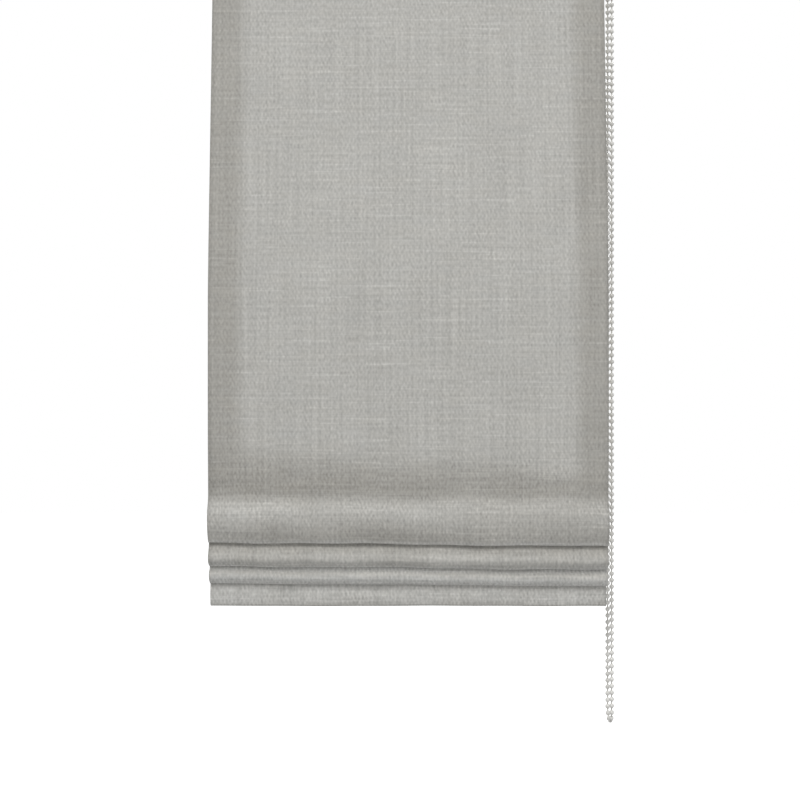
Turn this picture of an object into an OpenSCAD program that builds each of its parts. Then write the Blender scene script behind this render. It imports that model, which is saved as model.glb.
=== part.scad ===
// Chain-driven roman blind, part raised: a lined cloth hung from an aluminium headrail,
// gathered at the bottom into three soft folds over a weighted hem.
// Millimetres, +Z up, the room side faces -Y. The origin lies in the ceiling plane,
// midway between the two fixing holes.

/* [Cloth] */
// Finished width of the cloth
cloth_w = 350; // [340:1:360]
// Thickness of the woven face cloth
face_t = 0.8; // [0.6:0.05:0.9]
// Thickness of the lining
lining_t = 0.4; // [0.2:0.05:0.5]
// Air between the face cloth and the lining behind it
layer_gap = 0.2; // [0.15:0.05:0.3]
// Cloth from one batten to the next
batten_spacing = 160; // [155:1:165]
// Ceiling to the lower edge of the hem, at this height of the blind
hem_drop = 638.5; // [622:0.5:662]
// Cloth from the hem's lower edge up to the lowest batten
hem_section = 90; // [87:0.5:93]
// Height of the hem that shows below the rear fold
hem_reveal = 19.5; // [18:0.5:21]
// Height of the rear fold that shows below the middle fold
rear_reveal = 15.5; // [14.5:0.5:17]
// Height of the middle fold that shows below the front fold
middle_reveal = 21; // [19:0.5:23]
// How far the cloth stands forward at the folds
cloth_lean = 25; // [20:1:30]
// How far the front fold swells in front of the flat cloth
fold_bulge = 4.4; // [3.6:0.1:5.5]
// How far each fold lies behind the one above it
fold_setback = 2.5; // [2:0.1:3]
// How far the cloth draws back above the front fold
fold_waist = 1.2; // [0.8:0.1:1.6]
// Height of the front fold's swell, from its lower edge to its foremost place
front_swell = 24; // [20:0.5:28]
// Height of the swell of the two folds behind it
back_swell = 7; // [6.5:0.5:8]
// How far the lining stops short of each edge of the face cloth
lining_inset = 12; // [8:0.5:14]

/* [Hem bar] */
// Height of the flat weight bar in the hem
bar_h = 15; // [10:0.5:16]
// Thickness of the weight bar
bar_t = 3; // [2:0.1:3.4]
// Height of the pocket that holds the bar
hem_pocket_h = 30; // [28:0.5:34]
// How far the hem stands forward of the cloth above it
hem_step = 0.6; // [0.3:0.1:0.7]

/* [Battens] */
// Radius of a batten rod
batten_r = 1.8; // [1.4:0.1:2]
// Wall of the sleeve that a batten lies in
sleeve_t = 0.5; // [0.3:0.05:0.6]
// How far a batten stops short of each edge of the cloth
batten_inset = 15; // [13:0.5:20]
// Radius of a cord ring, to the middle of its wire
ring_r = 4; // [3.2:0.1:5]
// Radius of a cord ring's wire
ring_wire_r = 0.8; // [0.6:0.05:1]

/* [Headrail] */
// Depth of the headrail, front to back
rail_d = 36; // [34:0.5:44]
// Height of the headrail
rail_h = 34; // [32:0.5:40]
// Wall of the headrail
rail_wall = 1.6; // [1.2:0.1:2]
// Width of the slot along the headrail's top
rail_slot = 18; // [16:0.5:20]
// Height of the touch fastening tape
tape_h = 20; // [15:1:25]
// Thickness of each half of the touch fastening
tape_t = 1; // [0.8:0.1:1.4]
// Distance of each bracket from the edge of the cloth
bracket_inset = 35; // [31:1:39]
// Radius of the fixing holes
fix_hole_r = 2.25; // [1.75:0.05:2.75]
// Thickness of a bracket's plate
bracket_t = 2.4; // [2:0.1:3.5]

/* [Drive] */
// Distance of each lift cord from the edge of the cloth
cord_inset = 70; // [69:1:95]
// Radius of a lift cord
cord_r = 0.6; // [0.5:0.05:0.7]
// Radius of the drum that a lift cord winds on
drum_r = 7; // [6:0.1:7.5]
// Radius of the drive shaft
shaft_r = 3; // [2.5:0.1:3.5]
// Distance of the chain beyond the cloth's edge, to the middle of its beads
chain_offset = 9.5; // [8.5:0.1:10.5]

/* [Chain] */
// Radius of a bead
bead_r = 2.25; // [1.9:0.05:2.4]
// Distance between neighbouring beads
bead_pitch = 6; // [5.8:0.05:6.3]
// Pockets round the chain wheel
wheel_pockets = 10; // [9:1:10]
// Beads down each straight run of the chain
run_beads = 120; // [60:1:140]
// Radius of the thread that the beads sit on
thread_r = 0.6; // [0.4:0.05:0.8]

/* [Hidden] */
$fn = 48;
// Slack between a sewn or loose piece and its seat
seat_gap = 0.3;
// Running clearance round the shaft
run_gap = 0.05;
// Straight or curved steps in each bend of the cloth
bend_steps = 12;

// How far a cut runs past the face it opens
cut = 1;
// How far joined shapes of one piece reach into each other
bite = 0.5;

// Edges of the headrail and its ends
rail_top = -bracket_t;
rail_base = rail_top - rail_h;
shaft_z = rail_top - rail_h / 2;
rail_in_d = rail_d - 2 * rail_wall;
bracket_x = cloth_w / 2 - bracket_inset;
cord_x = cloth_w / 2 - cord_inset;
cap_t = 3;
cap_inset = 5;
rail_left = -cloth_w / 2 + cap_inset;
corner_r = 2.5;
plate_t = 4;
wheel_w = 8;
hub_l = 6.5;
wheel_gap = 1.5;
chain_x = cloth_w / 2 + chain_offset;
wheel_left = chain_x - wheel_w / 2;
housing_left = wheel_left - hub_l - plate_t;
rail_right = housing_left;
cover_left = wheel_left + wheel_w + wheel_gap;
cover_t = 2.5;
// Tongues that plug into the headrail's ends
tongue_t = 2;
tongue_h = 16;
tongue_l = 8;

// Chain wheel: its rim stands past the chain's line by a share of a bead
pitch_r = bead_pitch / (2 * sin(180 / wheel_pockets));
pocket_step = 360 / wheel_pockets;
pocket_gap = 0.15;
rim_share = 0.8;
wheel_r = pitch_r + rim_share * bead_r;
well_gap = 1.2;
well_r = pitch_r + bead_r + well_gap;
chain_low_z = shaft_z - run_beads * bead_pitch;

// Cloth layers, front to back through the gathered stack
top_y = -rail_d / 2 - 2 * tape_t - lining_t - layer_gap - face_t / 2;
front_y = top_y - cloth_lean;
loop_gap = 0.4;
face_gap = 0.5;
leg_pair = face_t + 2 * (layer_gap + lining_t) + loop_gap;
turn_d = face_t + face_gap;
turn_r = turn_d / 2;
front_back_y = front_y + fold_waist + leg_pair;
middle_front_y = front_back_y + turn_d;
middle_back_y = middle_front_y + leg_pair;
rear_front_y = middle_back_y + turn_d;
rear_back_y = rear_front_y + leg_pair;
hem_leg_y = rear_back_y + turn_d;

// Lower edges of the hem and of the folds above it
hem_z = -hem_drop;
rear_z = hem_z + hem_reveal;
middle_z = rear_z + rear_reveal;
front_z = middle_z + middle_reveal;

// Foremost place of each fold
front_nose = front_y - fold_bulge;
middle_nose = front_nose + fold_setback;
rear_nose = middle_nose + fold_setback;
// Share of a fold's depth that its lower turn takes, and the angles at which the swell leaves it
turn_share = 0.2;
front_slope = 30;
back_slope = 55;

function bez(a, b, c, d, n = bend_steps) = [for (i = [1:n]) let (t = i / n, u = 1 - t)
    u * u * u * a + 3 * u * u * t * b + 3 * u * t * t * c + t * t * t * d];
// A curve that leaves one point upright and reaches the next one upright
function sway(a, d, from, to) = bez(a, a + [0, from], d - [0, to], d);
function turn(c, r, from, to) = [for (i = [1:bend_steps]) let (a = from + (to - from) * i / bend_steps)
    c + r * [cos(a), sin(a)]];
function over(y, z) = turn([y - turn_r, z], turn_r, 0, 180);
function under(y, z, r) = turn([y - r, z], r, 0, -180);

// Loop of a fold: down its back leg, round its lower turn and up the swell to the nose
function scoop(back_y, nose_y, low_z, swell, slope) = let (
    r = turn_share * (back_y - nose_y),
    c = [back_y - r, low_z + face_t / 2 + r],
    p = c - r * [cos(slope), sin(slope)],
    nose = [nose_y, low_z + face_t / 2 + swell],
    k = norm(nose - p) / 3)
    concat([[back_y, c[1]]], turn(c, r, 0, slope - 180),
        bez(p, p + k * [-sin(slope), cos(slope)], nose - [0, k], nose));
function end_of(p) = p[len(p) - 1];
function run_of(p, i = 1) = i == len(p) ? 0 : norm(p[i] - p[i - 1]) + run_of(p, i + 1);

front_loop = scoop(front_back_y, front_nose, front_z, front_swell, front_slope);
middle_loop = scoop(middle_back_y, middle_nose, middle_z, back_swell, back_slope);
rear_loop = scoop(rear_back_y, rear_nose, rear_z, back_swell, back_slope);

// Heights of the battens: the lowest is set, the rest follow from the cloth between them
function next_batten(z, loop) = batten_spacing - (z - loop[0][1]) - run_of(loop) + end_of(loop)[1];
batten_1_z = hem_z + hem_section;
batten_2_z = next_batten(batten_1_z, rear_loop);
batten_3_z = next_batten(batten_2_z, middle_loop);
batten_4_z = next_batten(batten_3_z, front_loop);
batten_5_z = batten_4_z + batten_spacing;
batten_6_z = batten_5_z + batten_spacing;

// Hem pocket
pocket_r = (bar_t + 2 * seat_gap + face_t) / 2;
hem_front_y = hem_leg_y - hem_step;
hem_back_y = hem_front_y + 2 * pocket_r;
hem_cz = hem_z + face_t / 2 + pocket_r;
hem_pocket_z = hem_z + hem_pocket_h;
// Above the bar the pocket closes on the lining
hem_ease = 5;
hem_ease_z = hem_cz + bar_h + seat_gap;
hem_close_y = hem_leg_y + 3 * face_t / 2 + lining_t + layer_gap + seat_gap - face_t / 2;

// The flat cloth leaves the tape, leans forward and hangs plumb to the folds
tape_drop = 1.5;
tape_z = rail_top - tape_drop;
cloth_top_drop = 0.8;
cloth_top_z = rail_top - cloth_top_drop;
lean_drop = 4;
lean_top_z = rail_base - lean_drop;
lean_rise = 120;
lean_end_z = batten_4_z + lean_rise;
lean_ease = 40;
// Above the front fold the cloth draws back to a waist, and comes forward again at the batten
waist_rise = 18;
waist = [front_y + fold_waist, end_of(front_loop)[1] + waist_rise];
waist_ease = 6;
panel_ease = 16;
// Each fold tucks back under the one above it
tuck_start = 4.5;
tuck_end = 8;

// Middle line of the face cloth in the Y-Z plane, from the top of the hem pocket upwards
pocket_path = concat(
    [[hem_close_y, hem_pocket_z]],
    sway([hem_close_y, hem_pocket_z], [hem_back_y, hem_ease_z], -hem_ease, -hem_ease),
    [[hem_back_y, hem_cz]],
    under(hem_back_y, hem_cz, pocket_r));
body_path = concat(
    [[hem_front_y, hem_ease_z]],
    sway([hem_front_y, hem_ease_z], [hem_leg_y, hem_pocket_z - hem_ease], hem_ease / 2, hem_ease / 2),
    [[hem_leg_y, batten_1_z]],
    over(hem_leg_y, batten_1_z),
    rear_loop,
    sway(end_of(rear_loop), [rear_front_y, middle_loop[0][1]], tuck_start, tuck_end),
    [[rear_front_y, batten_2_z]],
    over(rear_front_y, batten_2_z),
    middle_loop,
    sway(end_of(middle_loop), [middle_front_y, front_loop[0][1]], tuck_start, tuck_end),
    [[middle_front_y, batten_3_z]],
    over(middle_front_y, batten_3_z),
    front_loop,
    sway(end_of(front_loop), waist, waist_ease, waist_ease),
    sway(waist, [front_y, batten_4_z], panel_ease, panel_ease),
    [[front_y, lean_end_z]],
    sway([front_y, lean_end_z], [top_y, lean_top_z], lean_ease, lean_ease),
    [[top_y, cloth_top_z]]);
face_path = concat(pocket_path, body_path);

function unit(v) = v / norm(v);
function heading(p, i) = unit(p[min(i + 1, len(p) - 1)] - p[max(i - 1, 0)]);
// Points of a path moved to its right by d, which is the lining's side of the cloth
function beside(p, d) = [for (i = [0:len(p) - 1]) let (h = heading(p, i)) p[i] + d * [h[1], -h[0]]];
function flip(p) = [for (i = [len(p) - 1:-1:0]) p[i]];
function band(p, from, to) = concat(beside(p, from), flip(beside(p, to)));

// Draws a Y-Z outline and gives it a length along X, centred
module across(length) {
    rotate([90, 0, 90]) linear_extrude(height = length, center = true) children();
}

// Draws a shape whose own axis is +Z along +X, starting at x
module along_x(x) {
    translate([x, 0, shaft_z]) rotate([90, 0, 90]) children();
}

// Batten rods: places of the middles of all six, lowest first
sleeve_r = batten_r + seat_gap + sleeve_t;
lining_out = face_t / 2 + layer_gap + lining_t;
rod_rise = turn_r + lining_out + layer_gap + sleeve_r;
rod_back = turn_d;
function lean_y(z) = z > lean_end_z ? lean_at(z) : front_y;
// Depth of the cloth's middle line where it leans, found on the same curve
function lean_at(z) = let (pts = concat([[front_y, lean_end_z]],
    sway([front_y, lean_end_z], [top_y, lean_top_z], lean_ease, lean_ease)))
    lookup(z, [for (p = pts) [p[1], p[0]]]);
function flat_rod(z) = [lean_y(z) + lining_out + seat_gap + sleeve_r, z];
rods = [
    [hem_leg_y - turn_r + rod_back, batten_1_z + rod_rise],
    [rear_front_y - turn_r + rod_back, batten_2_z + rod_rise],
    [middle_front_y - turn_r + rod_back, batten_3_z + rod_rise],
    flat_rod(batten_4_z),
    flat_rod(batten_5_z),
    flat_rod(batten_6_z)];

// Lift cord: from its drum, through the rings, down to its anchor behind the lowest batten
wind_r = drum_r + cord_r;
anchor_r = 2.6;
anchor_h = 8;
cord_top = [-(wind_r + 2 * cord_r + seat_gap), shaft_z];
cord_end = [rods[0][0] + sleeve_r + seat_gap + anchor_r, rods[0][1] - anchor_h];
cord_len = norm(cord_end - cord_top);
cord_tilt = atan2(cord_end[0] - cord_top[0], cord_top[1] - cord_end[1]);
cord_hole_r = 2.2;
knot_r = 1.5;
function cord_y(z) = cord_top[0]
    + (cord_end[0] - cord_top[0]) * (cord_top[1] - z) / (cord_top[1] - cord_end[1]);

// Spools
spool_w = 18;
flange_t = 2;
flange_rise = 4;
flange_r = drum_r + flange_rise;
wind_turns = 9;
// Neighbouring turns bed into each other a little
wind_pitch = 1.9 * cord_r;
cradle_wall = 3;
cradle_l = spool_w + 2 * cradle_wall + 4 * seat_gap;
cradle_base_t = 2;

// Outline of the headrail's end, seen along X
module rail_outline(r) {
    translate([-rail_d / 2 + r, rail_base + r]) square([rail_d - 2 * r, rail_h - 2 * r]);
    for (y = [-1, 1], z = [rail_base + r, rail_top - r])
        translate([y * (rail_d / 2 - r), z]) circle(r = r);
    translate([-rail_d / 2, rail_base + r]) square([rail_d, rail_h - 2 * r]);
    translate([-rail_d / 2 + r, rail_base]) square([rail_d - 2 * r, rail_h]);
}

module headrail() {
    length = rail_right - rail_left;
    color("gainsboro") difference() {
        translate([(rail_left + rail_right) / 2, 0, 0]) across(length) difference() {
            translate([-rail_d / 2, rail_base]) square([rail_d, rail_h]);
            translate([-rail_in_d / 2, rail_base + rail_wall]) square([rail_in_d, rail_h - 2 * rail_wall]);
            translate([-rail_slot / 2, rail_top - rail_wall - cut]) square([rail_slot, rail_wall + 2 * cut]);
        }
        for (s = [-1, 1]) translate([s * cord_x, cord_y(rail_base), rail_base - cut])
            cylinder(r = cord_hole_r, h = rail_wall + 2 * cut);
    }
}

// Two tongues that reach into the headrail from x, one inside each wall
module tongues(x, length) {
    for (y = [-1, 1])
        translate([x, y * (rail_in_d / 2 - seat_gap - tongue_t / 2) - tongue_t / 2, shaft_z - tongue_h / 2])
            cube([length, tongue_t, tongue_h]);
}

module end_cap() {
    boss_wall = 3;
    boss_l = tongue_l + 2;
    color("white") difference() {
        union() {
            translate([rail_left - cap_t / 2, 0, 0]) across(cap_t) rail_outline(corner_r);
            along_x(rail_left - bite) cylinder(r = shaft_r + boss_wall, h = boss_l + bite);
            tongues(rail_left - bite, tongue_l + bite);
        }
        along_x(rail_left - cap_t / 2) cylinder(r = shaft_r + run_gap, h = cap_t / 2 + boss_l + cut);
    }
}

module drive_housing() {
    length = cover_left - housing_left;
    well_left = housing_left + plate_t;
    well_l = length - plate_t + cut;
    color("white") difference() {
        union() {
            translate([(housing_left + cover_left) / 2, 0, 0]) across(length) rail_outline(corner_r);
            tongues(housing_left - tongue_l, tongue_l + bite);
        }
        along_x(well_left) cylinder(r = well_r, h = well_l);
        translate([well_left, -well_r, rail_base - cut]) cube([well_l, 2 * well_r, rail_h / 2 + cut]);
        along_x(housing_left - cut) cylinder(r = shaft_r + run_gap, h = plate_t + 2 * cut);
    }
}

module drive_cover() {
    boss_l = wheel_gap - seat_gap;
    boss_wall = 2;
    color("white") difference() {
        union() {
            translate([cover_left + cover_t / 2, 0, 0]) across(cover_t) rail_outline(corner_r);
            along_x(cover_left - boss_l) cylinder(r = shaft_r + boss_wall, h = boss_l + bite);
        }
        along_x(cover_left - boss_l - cut) cylinder(r = shaft_r + run_gap, h = boss_l + 2 * cut);
    }
}

// Twist-in bracket: a ceiling plate with a foot that turns under the headrail's lips
module bracket(x) {
    neck_r = rail_slot / 2 - seat_gap;
    foot_t = 3;
    lip_hold = 4;
    plate_w = 28;
    plate_d = rail_d + 2;
    foot_z = rail_top - rail_wall - seat_gap - foot_t;
    color("silver") translate([x, 0, 0]) difference() {
        union() {
            translate([-plate_w / 2, -plate_d / 2, -bracket_t]) cube([plate_w, plate_d, bracket_t]);
            translate([0, 0, foot_z]) cylinder(r = neck_r, h = -foot_z - bracket_t / 2);
            translate([0, 0, foot_z]) intersection() {
                translate([-neck_r, -rail_slot, 0]) cube([2 * neck_r, 2 * rail_slot, foot_t]);
                cylinder(r = rail_slot / 2 + lip_hold, h = foot_t);
            }
        }
        translate([0, 0, foot_z - cut]) cylinder(r = fix_hole_r, h = -foot_z + 2 * cut);
        translate([0, 0, foot_z - run_gap]) cylinder(r1 = 2 * fix_hole_r, r2 = fix_hole_r, h = fix_hole_r);
    }
}

module bracket_left() { bracket(-bracket_x); }
module bracket_right() { bracket(bracket_x); }

// Cradle that carries the shaft on both sides of a spool
module cradle(x) {
    inner_z = rail_base + rail_wall;
    wall_w = rail_in_d - 2 * seat_gap;
    ear_wall = 4;
    ear_r = shaft_r + ear_wall;
    shoulder_z = inner_z + 5;
    color("white") translate([x, 0, 0]) difference() {
        union() {
            translate([-cradle_l / 2, -wall_w / 2, inner_z]) cube([cradle_l, wall_w, cradle_base_t]);
            for (s = [-1, 1]) translate([s * (cradle_l - cradle_wall) / 2, 0, 0]) across(cradle_wall) {
                polygon([[-wall_w / 2, inner_z], [wall_w / 2, inner_z], [wall_w / 2, shoulder_z],
                    [ear_r, shaft_z], [-ear_r, shaft_z], [-wall_w / 2, shoulder_z]]);
                translate([0, shaft_z]) circle(r = ear_r);
            }
        }
        along_x(-cradle_l) cylinder(r = shaft_r + run_gap, h = 2 * cradle_l);
        translate([0, cord_y(inner_z), inner_z - cut])
            cylinder(r = cord_hole_r, h = cradle_base_t + 2 * cut);
    }
}

module cradle_left() { cradle(-cord_x); }
module cradle_right() { cradle(cord_x); }

// Strip of touch fastening across the headrail's front
module tape(y) {
    inset = 10;
    length = cloth_w - 2 * inset;
    translate([-length / 2, y - tape_t, tape_z - tape_h]) cube([length, tape_t, tape_h]);
}

module hook_tape() { color("whitesmoke") tape(-rail_d / 2); }
module loop_tape() { color("white") tape(-rail_d / 2 - tape_t); }

// Puts a shape that runs down from the origin along the line of a lift cord
module on_cord(x) {
    translate([x, cord_top[0], cord_top[1]]) rotate([cord_tilt, 0, 0]) mirror([0, 0, 1]) children();
}

module lift_cord(x) {
    color("white") on_cord(x) {
        cylinder(r = cord_r, h = cord_len);
        translate([0, 0, cord_len]) sphere(r = knot_r);
    }
}

module lift_cord_left() { lift_cord(-cord_x); }
module lift_cord_right() { lift_cord(cord_x); }

// Half outline of one bead, from its upper pole to its lower one
bead_steps = 8;
bead_cut = asin(thread_r / bead_r);
function bead_side(z) = [for (i = [0:bead_steps])
    let (a = 90 - bead_cut - i * (180 - 2 * bead_cut) / bead_steps) [bead_r * cos(a), z + bead_r * sin(a)]];

// Straight run of beads on their thread, hanging from z = 0
module bead_run() {
    length = run_beads * bead_pitch;
    side = [for (k = [1:run_beads - 1]) each bead_side(-k * bead_pitch)];
    rotate_extrude() polygon(concat([[0, 0], [thread_r, 0]], side, [[thread_r, -length], [0, -length]]));
}

// Half turn of beads, level with the ends of the straight runs
module bead_turn(z, from) {
    translate([chain_x, 0, z]) rotate([90, 0, 90]) {
        rotate([0, 0, from]) rotate_extrude(angle = 180) translate([pitch_r, 0]) circle(r = thread_r);
        for (k = [0:floor(180 / pocket_step)]) rotate([0, 0, from + k * pocket_step])
            translate([pitch_r, 0, 0]) sphere(r = bead_r);
    }
}

module bead_chain() {
    color("white") {
        for (s = [-1, 1]) translate([chain_x, s * pitch_r, shaft_z]) bead_run();
        bead_turn(shaft_z, 0);
        bead_turn(chain_low_z, 180);
    }
}

// Section of the shaft with its flat, a gap wider all round for a bore
flat_share = 0.8;
module shaft_section(gap) {
    intersection() {
        circle(r = shaft_r + gap);
        translate([-2 * shaft_r, -2 * shaft_r]) square([4 * shaft_r, (2 + flat_share) * shaft_r + gap]);
    }
}

// Bead wheel: round pockets that flare outwards, so that the beads leave them freely
module chain_wheel() {
    hub_wall = 3;
    hub_left = housing_left + plate_t + seat_gap;
    groove = 3 * thread_r;
    pocket_r = bead_r + pocket_gap;
    color("white") difference() {
        union() {
            along_x(wheel_left) cylinder(r = wheel_r, h = wheel_w);
            along_x(hub_left) cylinder(r = shaft_r + hub_wall, h = wheel_left - hub_left + bite);
        }
        along_x(hub_left - cut) linear_extrude(height = hub_l + wheel_w + 2 * cut) shaft_section(run_gap);
        along_x(chain_x) for (k = [0:wheel_pockets - 1]) rotate([0, 0, k * pocket_step])
            translate([pitch_r, 0, 0]) {
                sphere(r = pocket_r);
                rotate([0, 90, 0]) cylinder(r1 = pocket_r, r2 = 2 * pocket_r, h = pocket_r);
            }
        along_x(chain_x) rotate_extrude() translate([pitch_r - groove / 2, -groove / 2])
            square([2 * bead_r, groove]);
    }
}

module drive_shaft() {
    left = rail_left - cap_t / 3;
    color("silver") along_x(left) linear_extrude(height = cover_left + bite - left) shaft_section(0);
}

module spool(x) {
    color("white") along_x(x - spool_w / 2) difference() {
        union() {
            cylinder(r = drum_r - 2 * run_gap, h = spool_w);
            cylinder(r = flange_r, h = flange_t);
            translate([0, 0, spool_w - flange_t]) cylinder(r = flange_r, h = flange_t);
        }
        translate([0, 0, -cut]) linear_extrude(height = spool_w + 2 * cut) shaft_section(run_gap);
    }
}

module spool_left() { spool(-cord_x); }
module spool_right() { spool(cord_x); }

// Turns of cord side by side on a drum, the pull of the cord at their middle
module winding(x) {
    color("ivory") along_x(x) rotate_extrude() for (k = [0:wind_turns - 1])
        translate([wind_r, (k - (wind_turns - 1) / 2) * wind_pitch]) circle(r = cord_r);
}

module winding_left() { winding(-cord_x); }
module winding_right() { winding(cord_x); }

module face_cloth() {
    color("darkgray") across(cloth_w) polygon(band(face_path, -face_t / 2, face_t / 2));
}

// The lining stops inside the side hems and starts above the bar
module lining() {
    start = bend_steps;
    path = [for (i = [start:len(body_path) - 1]) body_path[i]];
    color("ivory") across(cloth_w - 2 * lining_inset)
        polygon(band(path, face_t / 2 + layer_gap, lining_out));
}

// Length of the bars and rods inside the cloth
bar_l = cloth_w - 2 * batten_inset;
bar_cap_l = 5;
bar_cap_round = 0.8;
sleeve_inset = 2;

module hem_bar() {
    color("silver") translate([-bar_l / 2 + bar_cap_l, hem_front_y + face_t / 2 + seat_gap, hem_cz])
        cube([bar_l - 2 * bar_cap_l, bar_t, bar_h]);
}

// End pieces that keep the bar from cutting the cloth
module hem_bar_caps() {
    color("white") for (s = [-1, 1]) translate([s * (bar_l - bar_cap_l) / 2, hem_front_y + pocket_r, hem_cz])
        intersection() {
            translate([-bar_cap_l / 2, -bar_t / 2, 0]) cube([bar_cap_l, bar_t, bar_h]);
            translate([-s * bar_cap_l, bar_t, bar_h / 2]) rotate([90, 0, 0])
                cylinder(r = norm([1.5 * bar_cap_l, bar_h / 2]) - bar_cap_round, h = 2 * bar_t);
        }
}

module rod(i) {
    color("white") translate([-bar_l / 2, rods[i][0], rods[i][1]]) rotate([0, 90, 0])
        cylinder(r = batten_r, h = bar_l);
}

module sleeve(i) {
    length = bar_l - 2 * sleeve_inset;
    color("ivory") translate([-length / 2, rods[i][0], rods[i][1]]) rotate([0, 90, 0]) difference() {
        cylinder(r = sleeve_r, h = length);
        translate([0, 0, -cut]) cylinder(r = batten_r + seat_gap, h = length + 2 * cut);
    }
}

module batten_one() { rod(0); }
module batten_two() { rod(1); }
module batten_three() { rod(2); }
module batten_four() { rod(3); }
module batten_five() { rod(4); }
module batten_six() { rod(5); }
module sleeve_one() { sleeve(0); }
module sleeve_two() { sleeve(1); }
module sleeve_three() { sleeve(2); }
module sleeve_four() { sleeve(3); }
module sleeve_five() { sleeve(4); }
module sleeve_six() { sleeve(5); }

// Pair of rings that the lift cords run through, each on a tab behind its sleeve
module rings(i) {
    tab_w = 8;
    tab_t = 1;
    z = rods[i][1];
    ring_y = cord_y(z);
    tab_y = rods[i][0] + sleeve_r + seat_gap;
    color("whitesmoke") for (s = [-1, 1]) translate([s * cord_x, 0, z]) {
        translate([0, ring_y, 0]) rotate_extrude() translate([ring_r, 0]) circle(r = ring_wire_r);
        translate([-tab_w / 2, tab_y, -tab_t / 2]) cube([tab_w, ring_y - ring_r - tab_y, tab_t]);
    }
}

module stack_rings() { for (i = [1:3]) rings(i); }
module rings_five() { rings(4); }
module rings_six() { rings(5); }

// Barrels that hold the knotted ends of the lift cords
module cord_anchors() {
    color("white") for (s = [-1, 1]) on_cord(s * cord_x)
        translate([0, 0, cord_len - knot_r - seat_gap - anchor_h]) difference() {
            cylinder(r = anchor_r, h = anchor_h);
            translate([0, 0, -cut]) cylinder(r = cord_r + seat_gap, h = anchor_h + 2 * cut);
        }
}

headrail();
end_cap();
drive_housing();
drive_cover();
bracket_left();
bracket_right();
cradle_left();
cradle_right();
hook_tape();
loop_tape();
lift_cord_left();
lift_cord_right();
bead_chain();
chain_wheel();
drive_shaft();
spool_left();
spool_right();
winding_left();
winding_right();
face_cloth();
lining();
hem_bar();
hem_bar_caps();
batten_one();
batten_two();
batten_three();
batten_four();
batten_five();
batten_six();
sleeve_one();
sleeve_two();
sleeve_three();
sleeve_four();
sleeve_five();
sleeve_six();
stack_rings();
rings_five();
rings_six();
cord_anchors();
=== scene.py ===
"""Looks of a chain-driven roman blind with a slubbed linen face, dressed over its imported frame."""

import logging
import math
from dataclasses import dataclass, field, replace
from enum import Enum
from typing import Callable, Optional, Sequence

import bpy
import numpy as np
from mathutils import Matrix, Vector


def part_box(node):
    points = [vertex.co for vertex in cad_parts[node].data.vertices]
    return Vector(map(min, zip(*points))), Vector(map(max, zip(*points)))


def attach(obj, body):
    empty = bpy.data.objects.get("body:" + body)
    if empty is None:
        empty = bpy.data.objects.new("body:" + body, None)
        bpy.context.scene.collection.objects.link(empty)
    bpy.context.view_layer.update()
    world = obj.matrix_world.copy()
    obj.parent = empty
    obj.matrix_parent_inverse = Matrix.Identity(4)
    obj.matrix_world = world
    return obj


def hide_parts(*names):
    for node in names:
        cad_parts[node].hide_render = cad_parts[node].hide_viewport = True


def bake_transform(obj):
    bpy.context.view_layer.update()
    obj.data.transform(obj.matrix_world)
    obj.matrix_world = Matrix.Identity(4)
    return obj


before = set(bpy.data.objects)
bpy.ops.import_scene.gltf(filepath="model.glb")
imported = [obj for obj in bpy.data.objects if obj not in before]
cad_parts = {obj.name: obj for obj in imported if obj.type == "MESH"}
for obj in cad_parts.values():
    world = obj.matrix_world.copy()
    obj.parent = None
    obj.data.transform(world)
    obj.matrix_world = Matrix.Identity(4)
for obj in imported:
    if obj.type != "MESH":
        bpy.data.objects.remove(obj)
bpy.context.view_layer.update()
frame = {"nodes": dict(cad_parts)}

PHOTO_PX = 800
MM = 0.001
FULL_TURN = 2 * math.pi
UV_NAME = "weave"

log = logging.getLogger("roman_blind")
logging.basicConfig(level=logging.INFO, format="%(name)s: %(message)s")

Point = tuple[float, float]
Triple = tuple[float, float, float]
Tree = bpy.types.NodeTree
Node = bpy.types.Node
Socket = bpy.types.NodeSocket
Sockets = dict[str, Socket]
Values = dict[str | int, object]
Material = bpy.types.Material
Piece = bpy.types.Object


class Body(str, Enum):
    """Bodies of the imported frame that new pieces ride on."""

    HEADRAIL = "headrail"
    STACK = "stack"
    BATTEN_FIVE = "batten_five"
    BATTEN_SIX = "batten_six"


class Slot(str, Enum):
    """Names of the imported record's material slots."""

    FACE = "face_cloth"
    LINING = "lining"
    CORD = "cord"
    RAIL = "rail"
    WHITE_PLASTIC = "white_plastic"
    CLEAR_PLASTIC = "clear_plastic"


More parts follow.
